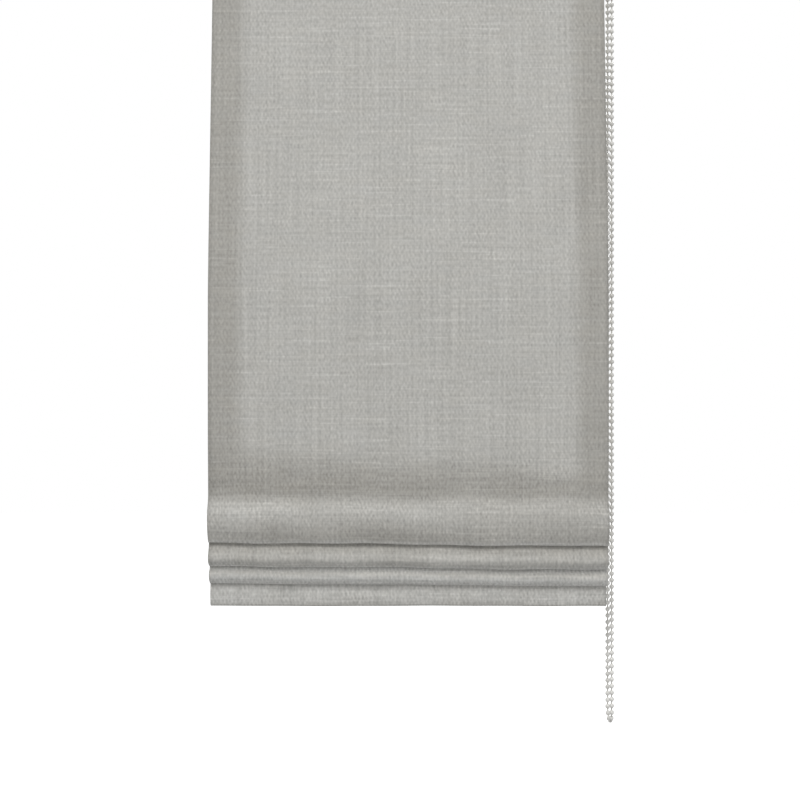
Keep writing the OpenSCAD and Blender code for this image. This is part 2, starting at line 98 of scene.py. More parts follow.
class Graph:
    """Adds and links shader nodes in one node tree."""

    def __init__(self, tree: Tree) -> None:
        """Keeps the tree that the nodes go into."""
        self.tree = tree

    def wire(self, node: Node, values: Values) -> Node:
        """Gives inputs of a node what they take.

        Args:
            node: the node.
            values: name or number of each input to a plain value, a colour or an output to link.

        Returns:
            The node.
        """
        for label, value in values.items():
            socket = node.inputs[label]
            if isinstance(value, Socket):
                self.tree.links.new(value, socket)
            elif socket.type == "RGBA":
                socket.default_value = (*value, 1.0)
            else:
                socket.default_value = value
        return node

    def add(self, kind: str, values: Optional[Values] = None, **settings: object) -> Node:
        """Adds a node.

        Args:
            kind: Blender's node type.
            values: what its inputs take.
            settings: properties to set on it first.

        Returns:
            The new node.
        """
        node = self.tree.nodes.new(kind)
        for name, value in settings.items():
            setattr(node, name, value)
        return self.wire(node, values or {})

    def math(self, operation: str, *values: object) -> Socket:
        """Gives the result of one of Blender's operations on values or outputs."""
        return self.add("ShaderNodeMath", dict(enumerate(values)), operation=operation).outputs[0]

    def ramp(self, value: object, low: float, high: float, to: Point = (0.0, 1.0)) -> Socket:
        """Adds a smooth Map Range.

        Args:
            value: the value or output to map.
            low: where the ramp starts.
            high: where it ends.
            to: what it gives at its start and end.

        Returns:
            The node's output.
        """
        values = {"Value": value, "From Min": low, "From Max": high, "To Min": to[0], "To Max": to[1]}
        node = self.add("ShaderNodeMapRange", values, interpolation_type="SMOOTHSTEP", clamp=True)
        return node.outputs["Result"]

    def split(self, vector: Socket) -> tuple[Socket, Socket]:
        """Gives the first two parts of a vector."""
        return tuple(self.add("ShaderNodeSeparateXYZ", {0: vector}).outputs[:2])

    def scaled(self, vector: Socket, scale: object) -> Socket:
        """Gives a vector times a scale or another vector, axis by axis."""
        return self.add("ShaderNodeVectorMath", {0: vector, 1: scale}, operation="MULTIPLY").outputs[0]

    def noise(self, vector: Socket, grain: Sequence[float], detail: float = 2.0) -> Socket:
        """Adds a noise stretched along each axis.

        Args:
            vector: the coordinates.
            grain: how many specks to a unit along two axes or all three.
            detail: how many finer layers the noise has.

        Returns:
            A value about 0.5.
        """
        values = {"Vector": self.scaled(vector, (*grain, 1.0)[:3]), "Scale": 1.0, "Detail": detail}
        return self.add("ShaderNodeTexNoise", values).outputs["Fac"]

    def about_zero(self, vector: Socket, grain: Sequence[float], detail: float = 2.0) -> Socket:
        """Gives a noise about zero."""
        return self.math("SUBTRACT", self.noise(vector, grain, detail), 0.5)

    def blend(self, factor: object, a: object, b: object) -> Socket:
        """Gives a mix of two colours, with the factor as the share of the second."""
        return self.add("ShaderNodeMix", {0: factor, 6: a, 7: b}, data_type="RGBA").outputs[2]

    def bump(self, height: Socket, strength: float, depth: float) -> Socket:
        """Gives the normal of a bump, by its height, how much of it shows and its depth in metres."""
        values = {"Height": height, "Strength": strength, "Distance": depth}
        return self.add("ShaderNodeBump", values).outputs[0]

    def object_place(self) -> Socket:
        """Gives the place on the object, in metres."""
        return self.add("ShaderNodeTexCoord").outputs["Object"]

    def cloth_place(self) -> Socket:
        """Gives the place on the piece's weave coordinates."""
        return self.add("ShaderNodeUVMap", uv_map=UV_NAME).outputs[0]


# Patterns that several finishes share, each a node group with coordinates in and masks out.


@dataclass(frozen=True)
class Pattern:
    """A shader node group: its name, its inputs beside the coordinates, its outputs and what draws it."""

    name: str
    values: tuple[str, ...]
    outputs: tuple[str, ...]
    draw: Callable[[Graph, Sockets], Sockets]

    def tree(self) -> Tree:
        """Builds the group once.

        Returns:
            The group.
        """
        found = bpy.data.node_groups.get(self.name)
        if found:
            return found
        tree = bpy.data.node_groups.new(self.name, "ShaderNodeTree")
        tree.interface.new_socket("Vector", in_out="INPUT", socket_type="NodeSocketVector")
        for way, labels in (("INPUT", self.values), ("OUTPUT", self.outputs)):
            for label in labels:
                tree.interface.new_socket(label, in_out=way, socket_type="NodeSocketFloat")
        g = Graph(tree)
        entry = g.add("NodeGroupInput").outputs
        g.add("NodeGroupOutput", self.draw(g, {label: entry[label] for label in ("Vector", *self.values)}))
        return tree

    def place(self, g: Graph, vector: Socket, **values: float) -> Node:
        """Puts the group into a material with values of its own, and gives its node."""
        return g.add("ShaderNodeGroup", {"Vector": vector, **values}, node_tree=self.tree())


def draw_weave(g: Graph, given: Sockets) -> Sockets:
    """Draws woven cloth on millimetres: threads, twill lines, weft bands, slubs and knots.

    Args:
        g: the group's graph.
        given: the coordinates, the contrast and the strength of the slubs.

    Returns:
        The shade, the height for a bump and the mask of the slubs.
    """
    at = given["Vector"]
    across, along = g.split(at)
    drift = g.about_zero(at, grain=(0.035, 0.05), detail=1.0)

    def wave(u: float = 0.0, v: float = 0.0, sway: float = 0.0) -> Socket:
        """Adds a sine with a drift in phase.

        Args:
            u: its period across, in millimetres, or 0 for none.
            v: its period along, or 0 for none.
            sway: how many periods the drift moves it.

        Returns:
            The sine.
        """
        total = g.math("MULTIPLY", drift, sway)
        for place, period in ((across, u), (along, v)):
            if period:
                total = g.math("ADD", total, g.math("DIVIDE", place, period))
        return g.math("SINE", g.math("MULTIPLY", total, FULL_TURN))

    patch = g.ramp(g.noise(at, grain=(0.05, 0.045), detail=1.0), low=0.3, high=0.7, to=(0.35, 1.0))
    thread = g.math("MULTIPLY", wave(u=0.9), wave(v=1.1))
    twill = g.math("MULTIPLY", wave(u=3.49, v=7.73, sway=0.8), patch)
    cross = g.math("MULTIPLY", wave(u=3.4, v=-7.2, sway=1.0), patch)
    band = g.math("MULTIPLY", wave(v=6.2, sway=0.8), g.noise(at, grain=(0.05, 0.02), detail=1.0))
    dash = g.about_zero(at, grain=(0.46, 0.27), detail=1.0)
    weft = g.about_zero(at, grain=(0.016, 0.5), detail=1.0)
    warp = g.about_zero(at, grain=(0.42, 0.009), detail=1.0)
    cloud = g.about_zero(at, grain=(0.02, 0.016), detail=2.0)
    shares = ((twill, 0.042), (cross, 0.03), (band, 0.03), (thread, 0.06), (dash, 0.48), (weft, 0.22),
              (warp, 0.3), (cloud, 0.12))
    slub_shade, slub_rise, thread_rise = 0.11, 0.2, 0.1
    dash_break, least_break = 1.8, 0.6
    woven: object = 0.5
    for part, share in shares:
        woven = g.math("MULTIPLY_ADD", g.math("MULTIPLY", part, given["Contrast"]), share, woven)
    broken = g.math("MULTIPLY_ADD", dash, dash_break, least_break)
    thick = g.ramp(g.noise(at, grain=(0.02, 0.5), detail=0.0), low=0.64, high=0.78)
    knot = g.ramp(g.noise(at, grain=(0.3, 0.4), detail=0.0), low=0.83, high=0.92)
    slubs = g.math("MAXIMUM", g.math("MULTIPLY", thick, broken), knot)
    slubs = g.math("MULTIPLY", slubs, given["Slub"])
    raised = g.math("MULTIPLY_ADD", thread, thread_rise, woven)
    return {"Shade": g.math("MULTIPLY_ADD", slubs, slub_shade, woven),
            "Height": g.math("MULTIPLY_ADD", slubs, slub_rise, raised), "Slubs": slubs}


def draw_moulded(g: Graph, given: Sockets) -> Sockets:
    """Draws a moulded or coated surface on metres: a fine grain, a broad cloud and a few scuffs.

    Args:
        g: the group's graph.
        given: the coordinates and the strength of the scuffs.

    Returns:
        The grain, the cloud and the mask of the scuffs.
    """
    at = given["Vector"]
    scuff = g.ramp(g.noise(at, grain=(60.0, 420.0, 420.0), detail=3.0), low=0.62, high=0.8)
    return {"Grain": g.noise(at, grain=(1400.0,) * 3), "Cloud": g.noise(at, grain=(38.0,) * 3),
            "Scuff": g.math("MULTIPLY", scuff, given["Wear"])}


def draw_metal(g: Graph, given: Sockets) -> Sockets:
    """Draws drawn metal on metres: streaks along X and a faint bloom."""
    return {"Streak": g.noise(given["Vector"], grain=(9.0, 1700.0, 1700.0), detail=3.0),
            "Bloom": g.noise(given["Vector"], grain=(120.0,) * 3, detail=3.0)}


WEAVE = Pattern("slub_weave", ("Contrast", "Slub"), ("Shade", "Height", "Slubs"), draw_weave)
MOULDED = Pattern("moulded_surface", ("Wear",), ("Grain", "Cloud", "Scuff"), draw_moulded)
DRAWN = Pattern("drawn_metal", (), ("Streak", "Bloom"), draw_metal)


# Kinds of finish, each of which gives the inputs of one material's shader.


@dataclass(frozen=True)
class Finish:
    """What every finish holds: its name and its two tones."""

    name: str
    light: Triple
    dark: Triple

    def paint(self, g: Graph) -> Values:
        """Adds the finish's nodes to a material, and gives what its shader's inputs take."""
        raise NotImplementedError

    def material(self) -> Material:
        """Makes the finish's material once.

        Returns:
            The material.
        """
        found = bpy.data.materials.get(self.name)
        if found:
            return found
        made = bpy.data.materials.new(self.name)
        made.use_nodes = True
        made.diffuse_color = (*self.light, 1.0)
        g = Graph(made.node_tree)
        g.wire(made.node_tree.nodes["Principled BSDF"], self.paint(g))
        return made


@dataclass(frozen=True)
class PaintedShading:
    """A band of painted shade or painted light along a cloth: where it starts and ends, in metres, and the
    factor its colour reaches.
    """

    start: float
    end: float
    reached: float

    def moved(self, by: float) -> "PaintedShading":
        """Gives the same change further along the cloth."""
        return PaintedShading(by + self.start, by + self.end, self.reached)


@dataclass(frozen=True)
class Cloth(Finish):
    """Woven cloth on a UV map in metres times uv_scale, which may have painted shade at its side hems and
    painted shade and light along its folds.
    """

    contrast: float = 1.0
    slub: float = 1.0
    fineness: float = 1.0
    uv_scale: float = 0.8
    # Painted shade on the side hems, in place of the light from behind that the double hem blocks.
    side_hem_shade: float = 1.0
    hem_from: float = 0.0
    hem_to: float = 0.0
    hem_waver: float = 8 * MM
    # Bands of painted shade and painted light along the cloth.
    tones: tuple[PaintedShading, ...] = ()
    waist_slant: float = 0.06
    gather_contrast: float = 1.0
    gather_drift: float = 0.3
    fleck_tint: Triple = (0.02, 0.0, -0.03)
    shade_warmth: Triple = (1.0, 1.06, 1.16)
    sheen: float = 0.12
    bump_depth: float = 0.4 * MM

    def paint_light_and_shade(self, g: Graph, weave: Node, metres: Socket, colour: Socket) -> Socket:
        """Paints shade into the colour at the side hems, paints shade and light along the folds and warms
        the painted shade; the weave also shows more in the folds.

        The first band of painted shading is the waist's painted shade, which slants a little across the
        cloth.

        Args:
            g: the material's graph.
            weave: the weave group's node.
            metres: place on the flat cloth.
            colour: the cloth's colour.

        Returns:
            The colour with its painted shade and light.
        """
        across, along = g.split(metres)
        # Painted shade over the side hems, with a wavering inner edge.
        waver = g.about_zero(metres, grain=(9.0, 22.0))
        side = g.math("MULTIPLY_ADD", waver, self.hem_waver, g.math("ABSOLUTE", across))
        tone = g.ramp(side, self.hem_from, self.hem_to, (1.0, self.side_hem_shade))
        # Painted shade at the waist, then painted shade and light band by band along the folds.
        waist, *folds = self.tones
        slanted = g.math("MULTIPLY_ADD", across, self.waist_slant, along)
        for place, change in ((slanted, waist), *((along, fold) for fold in folds)):
            share = g.ramp(place, change.start, change.end)
            tone = g.math("MULTIPLY_ADD", g.math("SUBTRACT", change.reached, tone), share, tone)
        contrasts = (self.contrast, self.contrast * self.gather_contrast)
        g.wire(weave, {"Contrast": g.ramp(along, waist.start, waist.end, contrasts)})
        gathered = g.ramp(along, waist.start, waist.end)
        drift = g.math("MULTIPLY", g.about_zero(metres, grain=(16.0, 45.0)), gathered)
        tone = g.math("MULTIPLY_ADD", drift, self.gather_drift, tone)
        # Each channel takes the painted shade and light to its own power, so painted shade is warmed and
        # painted light cooled, as light thrown between warm layers of cloth would tint them; random flecks
        # of tint go on top.
        fleck = g.about_zero(metres, grain=(34.0, 90.0))
        tints = [g.math("MULTIPLY_ADD", fleck, share, g.math("POWER", tone, power))
                 for power, share in zip(self.shade_warmth, self.fleck_tint)]
        return g.scaled(colour, g.add("ShaderNodeCombineXYZ", dict(enumerate(tints))).outputs[0])

    def paint(self, g: Graph) -> Values:
        """Adds the weave, and the painted shade and light where the cloth has them.

        Args:
            g: the material's graph.

        Returns:
            What the shader's inputs take.
        """
        metres = g.scaled(g.cloth_place(), (1 / self.uv_scale,) * 3)
        millimetres = g.scaled(metres, (self.fineness / MM,) * 3)
        weave = WEAVE.place(g, millimetres, Contrast=self.contrast, Slub=self.slub)
        colour = g.blend(weave.outputs["Shade"], self.dark, self.light)
        if self.tones:
            colour = self.paint_light_and_shade(g, weave, metres, colour)
        return {"Base Color": colour,
                "Roughness": g.ramp(weave.outputs["Slubs"], low=0.0, high=1.0, to=(0.92, 0.7)),
                "Specular IOR Level": 0.2, "Sheen Weight": self.sheen, "Sheen Roughness": 0.6,
                "Normal": g.bump(weave.outputs["Height"], strength=0.35, depth=self.bump_depth)}


@dataclass(frozen=True)
class Braid(Finish):
    """Braided cord, on a UV map that runs round it in turns and along it in millimetres."""

    pitch: float = 1.6
    strands: int = 2

    def paint(self, g: Graph) -> Values:
        """Adds the plait and its fuzz.

        Args:
            g: the material's graph.

        Returns:
            What the shader's inputs take.
        """
        at = g.cloth_place()
        turn, length = g.split(at)
        turns = g.math("MULTIPLY", turn, self.strands * FULL_TURN)
        along = g.math("MULTIPLY", length, FULL_TURN / self.pitch)
        strands = [g.math("SINE", g.math(way, turns, along)) for way in ("ADD", "SUBTRACT")]
        plait = g.math("MULTIPLY_ADD", g.math("MAXIMUM", *strands), 0.5, 0.5)
        fuzz = g.noise(at, grain=(6.0, 1.4))
        return {"Base Color": g.blend(g.math("MULTIPLY", plait, fuzz), self.dark, self.light),
                "Roughness": g.ramp(fuzz, low=0.3, high=0.7, to=(0.6, 0.8)), "Specular IOR Level": 0.3,
                "Normal": g.bump(plait, strength=0.6, depth=0.2 * MM)}


@dataclass(frozen=True)
class Moulded(Finish):
    """Moulded plastic, powder coat or waxed thread with a fine grain, faint clouding and a few scuffs."""

    gloss: float = 0.42
    gloss_drift: float = 0.16
    wear: float = 0.35
    wear_rough: float = 0.2
    clear: float = 0.0
    coat: float = 0.0
    grain_depth: float = 0.06 * MM

    def paint(self, g: Graph) -> Values:
        """Adds the grain, the clouding and the scuffs.

        Args:
            g: the material's graph.

        Returns:
            What the shader's inputs take.
        """
        skin = MOULDED.place(g, g.object_place(), Wear=self.wear).outputs
        tone = g.blend(g.ramp(skin["Cloud"], low=0.3, high=0.7), self.dark, self.light)
        rough = g.math("MULTIPLY_ADD", skin["Cloud"], self.gloss_drift, self.gloss - self.gloss_drift / 2)
        return {"Base Color": g.blend(skin["Scuff"], tone, self.dark),
                "Roughness": g.math("MULTIPLY_ADD", skin["Scuff"], self.wear_rough, rough),
                "Transmission Weight": self.clear, "IOR": 1.49, "Coat Weight": self.coat,
                "Normal": g.bump(skin["Grain"], strength=0.25, depth=self.grain_depth)}


@dataclass(frozen=True)
class Metal(Finish):
    """Drawn or plated metal with streaks along its length."""

    rough: float = 0.34
    rough_drift: float = 0.22
    bloom: float = 0.3
    streaks: float = 0.7

    def paint(self, g: Graph) -> Values:
        """Adds the streaks and the bloom.

        Args:
            g: the material's graph.

        Returns:
            What the shader's inputs take.
        """
        skin = DRAWN.place(g, g.object_place()).outputs
        streaked = g.math("MULTIPLY", skin["Streak"], self.streaks)
        mixed = g.math("MULTIPLY_ADD", skin["Bloom"], self.bloom, streaked)
        smooth = self.rough - self.rough_drift / 2
        return {"Base Color": g.blend(g.ramp(mixed, low=0.25, high=0.75), self.dark, self.light),
                "Roughness": g.math("MULTIPLY_ADD", skin["Streak"], self.rough_drift, smooth),
                "Metallic": 1.0, "Normal": g.bump(skin["Streak"], strength=0.2, depth=0.04 * MM)}


@dataclass(frozen=True)
class Pile(Finish):
    """Short hook or loop pile of a touch fastening."""

    grain: float = 900.0

    def paint(self, g: Graph) -> Values:
        """Adds the pile and a broad cloud.

        Args:
            g: the material's graph.

        Returns:
            What the shader's inputs take.
        """
        at = g.object_place()
        pile = g.noise(at, grain=(self.grain,) * 3)
        cloud = g.noise(at, grain=(70.0,) * 3)
        return {"Base Color": g.blend(g.math("MULTIPLY", pile, cloud), self.dark, self.light),
                "Roughness": g.ramp(cloud, low=0.3, high=0.7, to=(0.8, 0.95)), "Sheen Weight": 0.2,
                "Normal": g.bump(pile, strength=0.8, depth=0.5 * MM)}


# The finishes of this blind.

# The linen's side hems carry painted shade.
LINEN = Cloth("slubbed_linen", (0.69, 0.681, 0.646), (0.232, 0.228, 0.214), side_hem_shade=0.81,
              hem_from=139.5 * MM, hem_to=156 * MM, gather_contrast=1.27)
SATEEN = Cloth("lining_sateen", (0.8, 0.78, 0.715), (0.58, 0.563, 0.508), contrast=0.75, slub=0.15,
               fineness=2.2, bump_depth=0.2 * MM, sheen=0.2)
LIFT_BRAID = Braid("lift_braid", (0.78, 0.77, 0.73), (0.45, 0.44, 0.4))
SEWING = Moulded("sewing_thread", (0.66, 0.64, 0.58), (0.5, 0.48, 0.43), gloss=0.6)
POWDER_COAT = Moulded("rail_powder_coat", (0.73, 0.73, 0.72), (0.71, 0.71, 0.7), gloss=0.36,
                      grain_depth=0.1 * MM)
WHITE_MOULDED = Moulded("white_moulding", (0.73, 0.73, 0.715), (0.695, 0.695, 0.68), gloss=0.42)
BEAD_PLASTIC = Moulded("bead_plastic", (0.74, 0.735, 0.71), (0.62, 0.612, 0.585), gloss=0.3, wear=0.2,
                       coat=0.1)
CLEAR_RING = Moulded("clear_ring", (0.8, 0.8, 0.79), (0.72, 0.72, 0.7), gloss=0.18, clear=0.7)
FIBRE_ROD = Moulded("fibre_rod", (0.7, 0.7, 0.68), (0.6, 0.6, 0.57), gloss=0.5)
ZINC = Metal("zinc_plate", (0.72, 0.73, 0.74), (0.5, 0.51, 0.53), rough=0.36, bloom=0.6)
MILL_BAR = Metal("mill_bar", (0.78, 0.78, 0.79), (0.6, 0.6, 0.61), rough=0.32)
HOOK_PILE = Pile("hook_pile", (0.74, 0.74, 0.72), (0.46, 0.46, 0.44), grain=1400.0)
LOOP_PILE = Pile("loop_pile", (0.76, 0.76, 0.74), (0.5, 0.5, 0.48), grain=800.0)

# Painted shade and painted light on the linen below batten four, in place of the folds' shading: darker at
# the waist and on the front fold's swell, lighter towards the folds' lower turns and on the hem, darker
# again at the hem's foot.
# They are given by lengths along the cloth from batten four, negative on the way down. Battens three, two
# and one lie at 160, 320 and 480 mm.
WAIST_PAINTED_SHADE = (PaintedShading(-0.004, -0.039, 0.77),)
FRONT_FOLD_PAINTED_SHADING = (PaintedShading(-0.042, -0.062, 0.94), PaintedShading(-0.066, -0.083, 0.84), PaintedShading(-0.087, -0.092, 1.1))
MIDDLE_FOLD_PAINTED_SHADING = (PaintedShading(-0.15, -0.18, 0.8), PaintedShading(-0.23, -0.239, 0.92), PaintedShading(-0.2405, -0.2455, 1.05),
                     PaintedShading(-0.246, -0.25, 1.3))
REAR_FOLD_PAINTED_SHADING = (PaintedShading(-0.3, -0.33, 1.12), PaintedShading(-0.3975, -0.4015, 0.92), PaintedShading(-0.402, -0.407, 1.18))
HEM_PAINTED_SHADING = (PaintedShading(-0.45, -0.48, 1.05), PaintedShading(-0.572, -0.577, 0.94))
FOLD_PAINTED_SHADING = WAIST_PAINTED_SHADE + FRONT_FOLD_PAINTED_SHADING + MIDDLE_FOLD_PAINTED_SHADING + REAR_FOLD_PAINTED_SHADING + HEM_PAINTED_SHADING


@dataclass
class ClothLine:
    """Course of the cloth in the Y-Z plane, in metres, from the hem pocket up to the headrail."""

    face_t: float = 0.8 * MM
    lining_t: float = 0.4 * MM
    layer_gap: float = 0.2 * MM
    seat_gap: float = 0.3 * MM
    leg_clear: float = 0.4 * MM
    turn_clear: float = 0.5 * MM
    top_y: float = -21 * MM
    front_y: float = -46 * MM
    fold_bulge: float = 4.4 * MM
    fold_setback: float = 4 * MM
    fold_waist: float = 1.2 * MM
    front_swell: float = 24 * MM
    back_swell: float = 7 * MM
    hem_z: float = -638.5 * MM
    rear_z: float = -619 * MM
    middle_z: float = -603.5 * MM
    front_z: float = -582.5 * MM
    hem_section: float = 90 * MM
    batten_spacing: float = 160 * MM
    bar_t: float = 3 * MM
    bar_h: float = 15 * MM
    hem_pocket_h: float = 30 * MM
    hem_step: float = 0.6 * MM
    hem_ease: float = 5 * MM
    hem_bulge: float = 1.1 * MM
    cloth_top_z: float = -3.2 * MM
    lean_top_z: float = -40.4 * MM
    lean_rise: float = 120 * MM
    lean_ease: float = 40 * MM
    waist_rise: float = 18 * MM
    waist_ease: float = 6 * MM
    panel_ease: float = 16 * MM
    panel_foot: float = 20 * MM
    panel_front: float = 1 * MM
    tuck_start: float = 4.5 * MM
    tuck_end: float = 8 * MM
    turn_share: float = 0.2
    front_slope: float = 30.0
    back_slope: float = 50.0
    steps: int = 18
    lining_lap: int = 3
    longest: float = 7 * MM
    face: np.ndarray = field(init=False)
    body_start: int = field(init=False)
    batten_z: list[float] = field(init=False)

    def __post_init__(self) -> None:
        """Works out the line."""
        self.trace()

    def bezier(self, a: Point, b: Point, c: Point, d: Point) -> list[Point]:
        """Gives a Bezier curve.

        Args:
            a: its first end.
            b: the point that it leaves towards.
            c: the point that it comes from.
            d: its last end.

        Returns:
            The curve's points after its first one.
        """
        t = np.linspace(0, 1, self.steps + 1)[1:, None]
        p = [np.array(x, float) for x in (a, b, c, d)]
        curve = (1 - t) ** 3 * p[0] + 3 * (1 - t) ** 2 * t * p[1] + 3 * (1 - t) * t**2 * p[2] + t**3 * p[3]
        return [tuple(x) for x in curve]

    def sway(self, a: Point, d: Point, leave: float, reach: float) -> list[Point]:
        """Gives a curve that leaves one point upright and reaches the next one upright."""
        return self.bezier(a, (a[0], a[1] + leave), (d[0], d[1] - reach), d)

    def turn(self, centre: Point, radius: float, start: float, end: float) -> list[Point]:
        """Gives the points of an arc after its first one, by its angles in degrees."""
        angles = np.radians(np.linspace(start, end, self.steps + 1)[1:])
        return [(centre[0] + radius * math.cos(x), centre[1] + radius * math.sin(x)) for x in angles]

    def scoop(self, back_y: float, nose_y: float, low_z: float, swell: float, slope: float) -> list[Point]:
        """Gives the loop of a fold: down its back leg, round its lower turn and up the swell to its nose.

        Args:
            back_y: depth of the back leg.
            nose_y: depth of the foremost place.
            low_z: height of the fold's lower edge.
            swell: height of the nose above the lower edge.
            slope: angle from plumb at which the swell starts, in degrees.

        Returns:
            The loop's points.
        """
        radius = self.turn_share * (back_y - nose_y)
        low = low_z + self.face_t / 2
        centre = (back_y - radius, low + radius)
        lean = math.radians(slope)
        inward = np.array([math.cos(lean), math.sin(lean)])
        heading = np.array([-math.sin(lean), math.cos(lean)])
        leave = np.array(centre) - radius * inward
        nose = np.array([nose_y, low + swell])
        reach = float(np.linalg.norm(nose - leave)) / 3
        swelling = self.bezier(tuple(leave), tuple(leave + reach * heading),
                               (nose[0], nose[1] - reach), tuple(nose))
        return [(back_y, centre[1]), *self.turn(centre, radius, 0, slope - 180), *swelling]

    def pocket(self, hem_leg: float) -> list[Point]:
        """Gives the hem pocket: down its back, round the bar and up its front.

        Args:
            hem_leg: depth of the leg above the pocket.

        Returns:
            The pocket's points.
        """
        radius = (self.bar_t + 2 * self.seat_gap + self.face_t) / 2
        front = hem_leg - self.hem_step
        back = front + 2 * radius
        low = self.hem_z + self.face_t / 2 + radius
        high = low + self.bar_h + self.seat_gap
        close = (hem_leg + self.face_t + self.lining_t + self.layer_gap + self.seat_gap,
                 self.hem_z + self.hem_pocket_h)
        swell = front - self.hem_bulge
        return [close, *self.sway(close, (back, high), -self.hem_ease, -self.hem_ease),
                (back, low), *self.turn((back - radius, low), radius, 0, -180),
                *self.bezier((front, low), (swell, (2 * low + high) / 3), (swell, (low + 2 * high) / 3),
                             (front, high))]

    def trace(self) -> None:
        """Works out the line's points and the battens' heights."""
        leg_pair = self.face_t + 2 * (self.layer_gap + self.lining_t) + self.leg_clear
        turn_d = self.face_t + self.turn_clear
        layers = [self.front_y + self.fold_waist + leg_pair]
        for step in (turn_d, leg_pair, turn_d, leg_pair, turn_d):
            layers.append(layers[-1] + step)
        front_back, middle_front, middle_back, rear_front, rear_back, hem_leg = layers
        noses = [self.front_y - self.fold_bulge + k * self.fold_setback for k in range(3)]
        front = self.scoop(front_back, noses[0], self.front_z, self.front_swell, self.front_slope)
        middle = self.scoop(middle_back, noses[1], self.middle_z, self.back_swell, self.back_slope)
        rear = self.scoop(rear_back, noses[2], self.rear_z, self.back_swell, self.back_slope)
        heights = [self.hem_z + self.hem_section]
        for loop in (rear, middle, front):
            run = float(self.lengths(np.array(loop))[-1])
            heights.append(self.batten_spacing - (heights[-1] - loop[0][1]) - run + loop[-1][1])
        heights += [heights[3] + k * self.batten_spacing for k in (1, 2)]
        self.batten_z = heights

        def over(y: float, z: float) -> list[Point]:
            """Gives the top of a leg and the tight turn of the cloth over its batten."""
            return [(y, z), *self.turn((y - turn_d / 2, z), turn_d / 2, 0, 180)]

        def tuck(fold: list[Point], y: float, above: list[Point]) -> list[Point]:
            """Gives the way from a fold's nose back to the leg behind the fold above."""
            return self.sway(fold[-1], (y, above[0][1]), self.tuck_start, self.tuck_end)

        pocket = self.pocket(hem_leg)
        hem_top = (hem_leg, self.hem_z + self.hem_pocket_h - self.hem_ease)
        waist = (self.front_y + self.fold_waist, front[-1][1] + self.waist_rise)
        lean_end = (self.front_y, heights[3] + self.lean_rise)
        body = [pocket[-1], *self.sway(pocket[-1], hem_top, self.hem_ease / 2, self.hem_ease / 2),
                *over(hem_leg, heights[0]), *rear, *tuck(rear, rear_front, middle),
                *over(rear_front, heights[1]), *middle, *tuck(middle, middle_front, front),
                *over(middle_front, heights[2]), *front,
                *self.sway(front[-1], waist, self.waist_ease, self.waist_ease),
                *self.sway(waist, (self.front_y, heights[3]), self.panel_ease, self.panel_ease), lean_end,
                *self.sway(lean_end, (self.top_y, self.lean_top_z), self.lean_ease, self.lean_ease),
                (self.top_y, self.cloth_top_z)]
        whole = self.filled(pocket)
        self.body_start = len(whole) + self.steps - self.lining_lap
        self.face = np.array(whole + self.filled(body, whole[-1]))

    def filled(self, points: Sequence[Point], before: Optional[Point] = None) -> list[Point]:
        """Gives points with long straight stretches divided.

        Args:
            points: the points in order.
            before: the point that they follow, if any.

        Returns:
            The points, none further from the last than the longest step, and none twice.
        """
        same, slack = 1e-9, 1e-6
        made: list[Point] = []
        last = before
        for point in points:
            if last is None:
                made.append(point)
            else:
                gap = math.dist(last, point)
                if gap > same:
                    count = max(1, math.ceil(gap / self.longest - slack))
                    made += [tuple(np.array(last) + (np.array(point) - np.array(last)) * k / count)
                             for k in range(1, count + 1)]
            last = point
        return made

    def beside(self, points: np.ndarray, distance: float) -> np.ndarray:
        """Moves points to the lining's side of the line.

        Args:
            points: points of the line in order.
            distance: how far they move.

        Returns:
            The moved points.
        """
        ahead = np.vstack([points[1:], points[-1:]])
        behind = np.vstack([points[:1], points[:-1]])
        heading = ahead - behind
        heading /= np.linalg.norm(heading, axis=1)[:, None]
        return points + distance * np.stack([heading[:, 1], -heading[:, 0]], axis=1)

    def lining_back(self, z: float) -> float:
        """Finds the lining's back on the hanging panel.

        Args:
            z: the height.

        Returns:
            The depth of the lining's back there.
        """
        panel = self.face[self.face[:, 1] > self.batten_z[3] - self.panel_foot]
        panel = panel[panel[:, 0] > self.front_y - self.panel_front]
        line = self.beside(panel, self.face_t / 2 + self.layer_gap + self.lining_t)
        order = np.argsort(line[:, 1])
        return float(np.interp(z, line[order, 1], line[order, 0]))

    def below_batten_four(self) -> float:
        """Gives the length along the line at its last point below batten four."""
        return float(self.lengths(self.face)[np.flatnonzero(self.face[:, 1] < self.batten_z[3])[-1]])

    @staticmethod
    def lengths(points: np.ndarray) -> np.ndarray:
        """Gives the length along the line at each point."""
        return np.concatenate([[0.0], np.cumsum(np.linalg.norm(np.diff(points, axis=0), axis=1))])


# What the pieces are modelled, mapped and dressed with.


def deselect() -> None:
    """Leaves nothing selected."""
    bpy.ops.object.select_all(action="DESELECT")


def pick(*objs: Piece) -> None:
    """Selects only some objects and makes the first one active.

    Args:
        objs: the objects.
    """
    deselect()
    for obj in objs:
        obj.select_set(True)
    bpy.context.view_layer.objects.active = objs[0]


def settle(obj: Piece) -> Piece:
    """Puts an object's place, turn and scale into its mesh.

    Args:
        obj: the object.

    Returns:
        The same object, at the origin.
    """
    pick(obj)
    bpy.ops.object.transform_apply(location=True, rotation=True, scale=True)
    return obj


def finish_modifiers(obj: Piece) -> None:
    """Applies an object's modifiers in order."""
    pick(obj)
    for name in [m.name for m in obj.modifiers]:
        bpy.ops.object.modifier_apply(modifier=name)


def placed(name: str, data: bpy.types.ID) -> Piece:
    """Puts a mesh, a lamp or a camera into the scene.

    Args:
        name: the object's name.
        data: the mesh, lamp or camera.

    Returns:
        Its object.
    """
    obj = bpy.data.objects.new(name, data)
    bpy.context.scene.collection.objects.link(obj)
    return obj


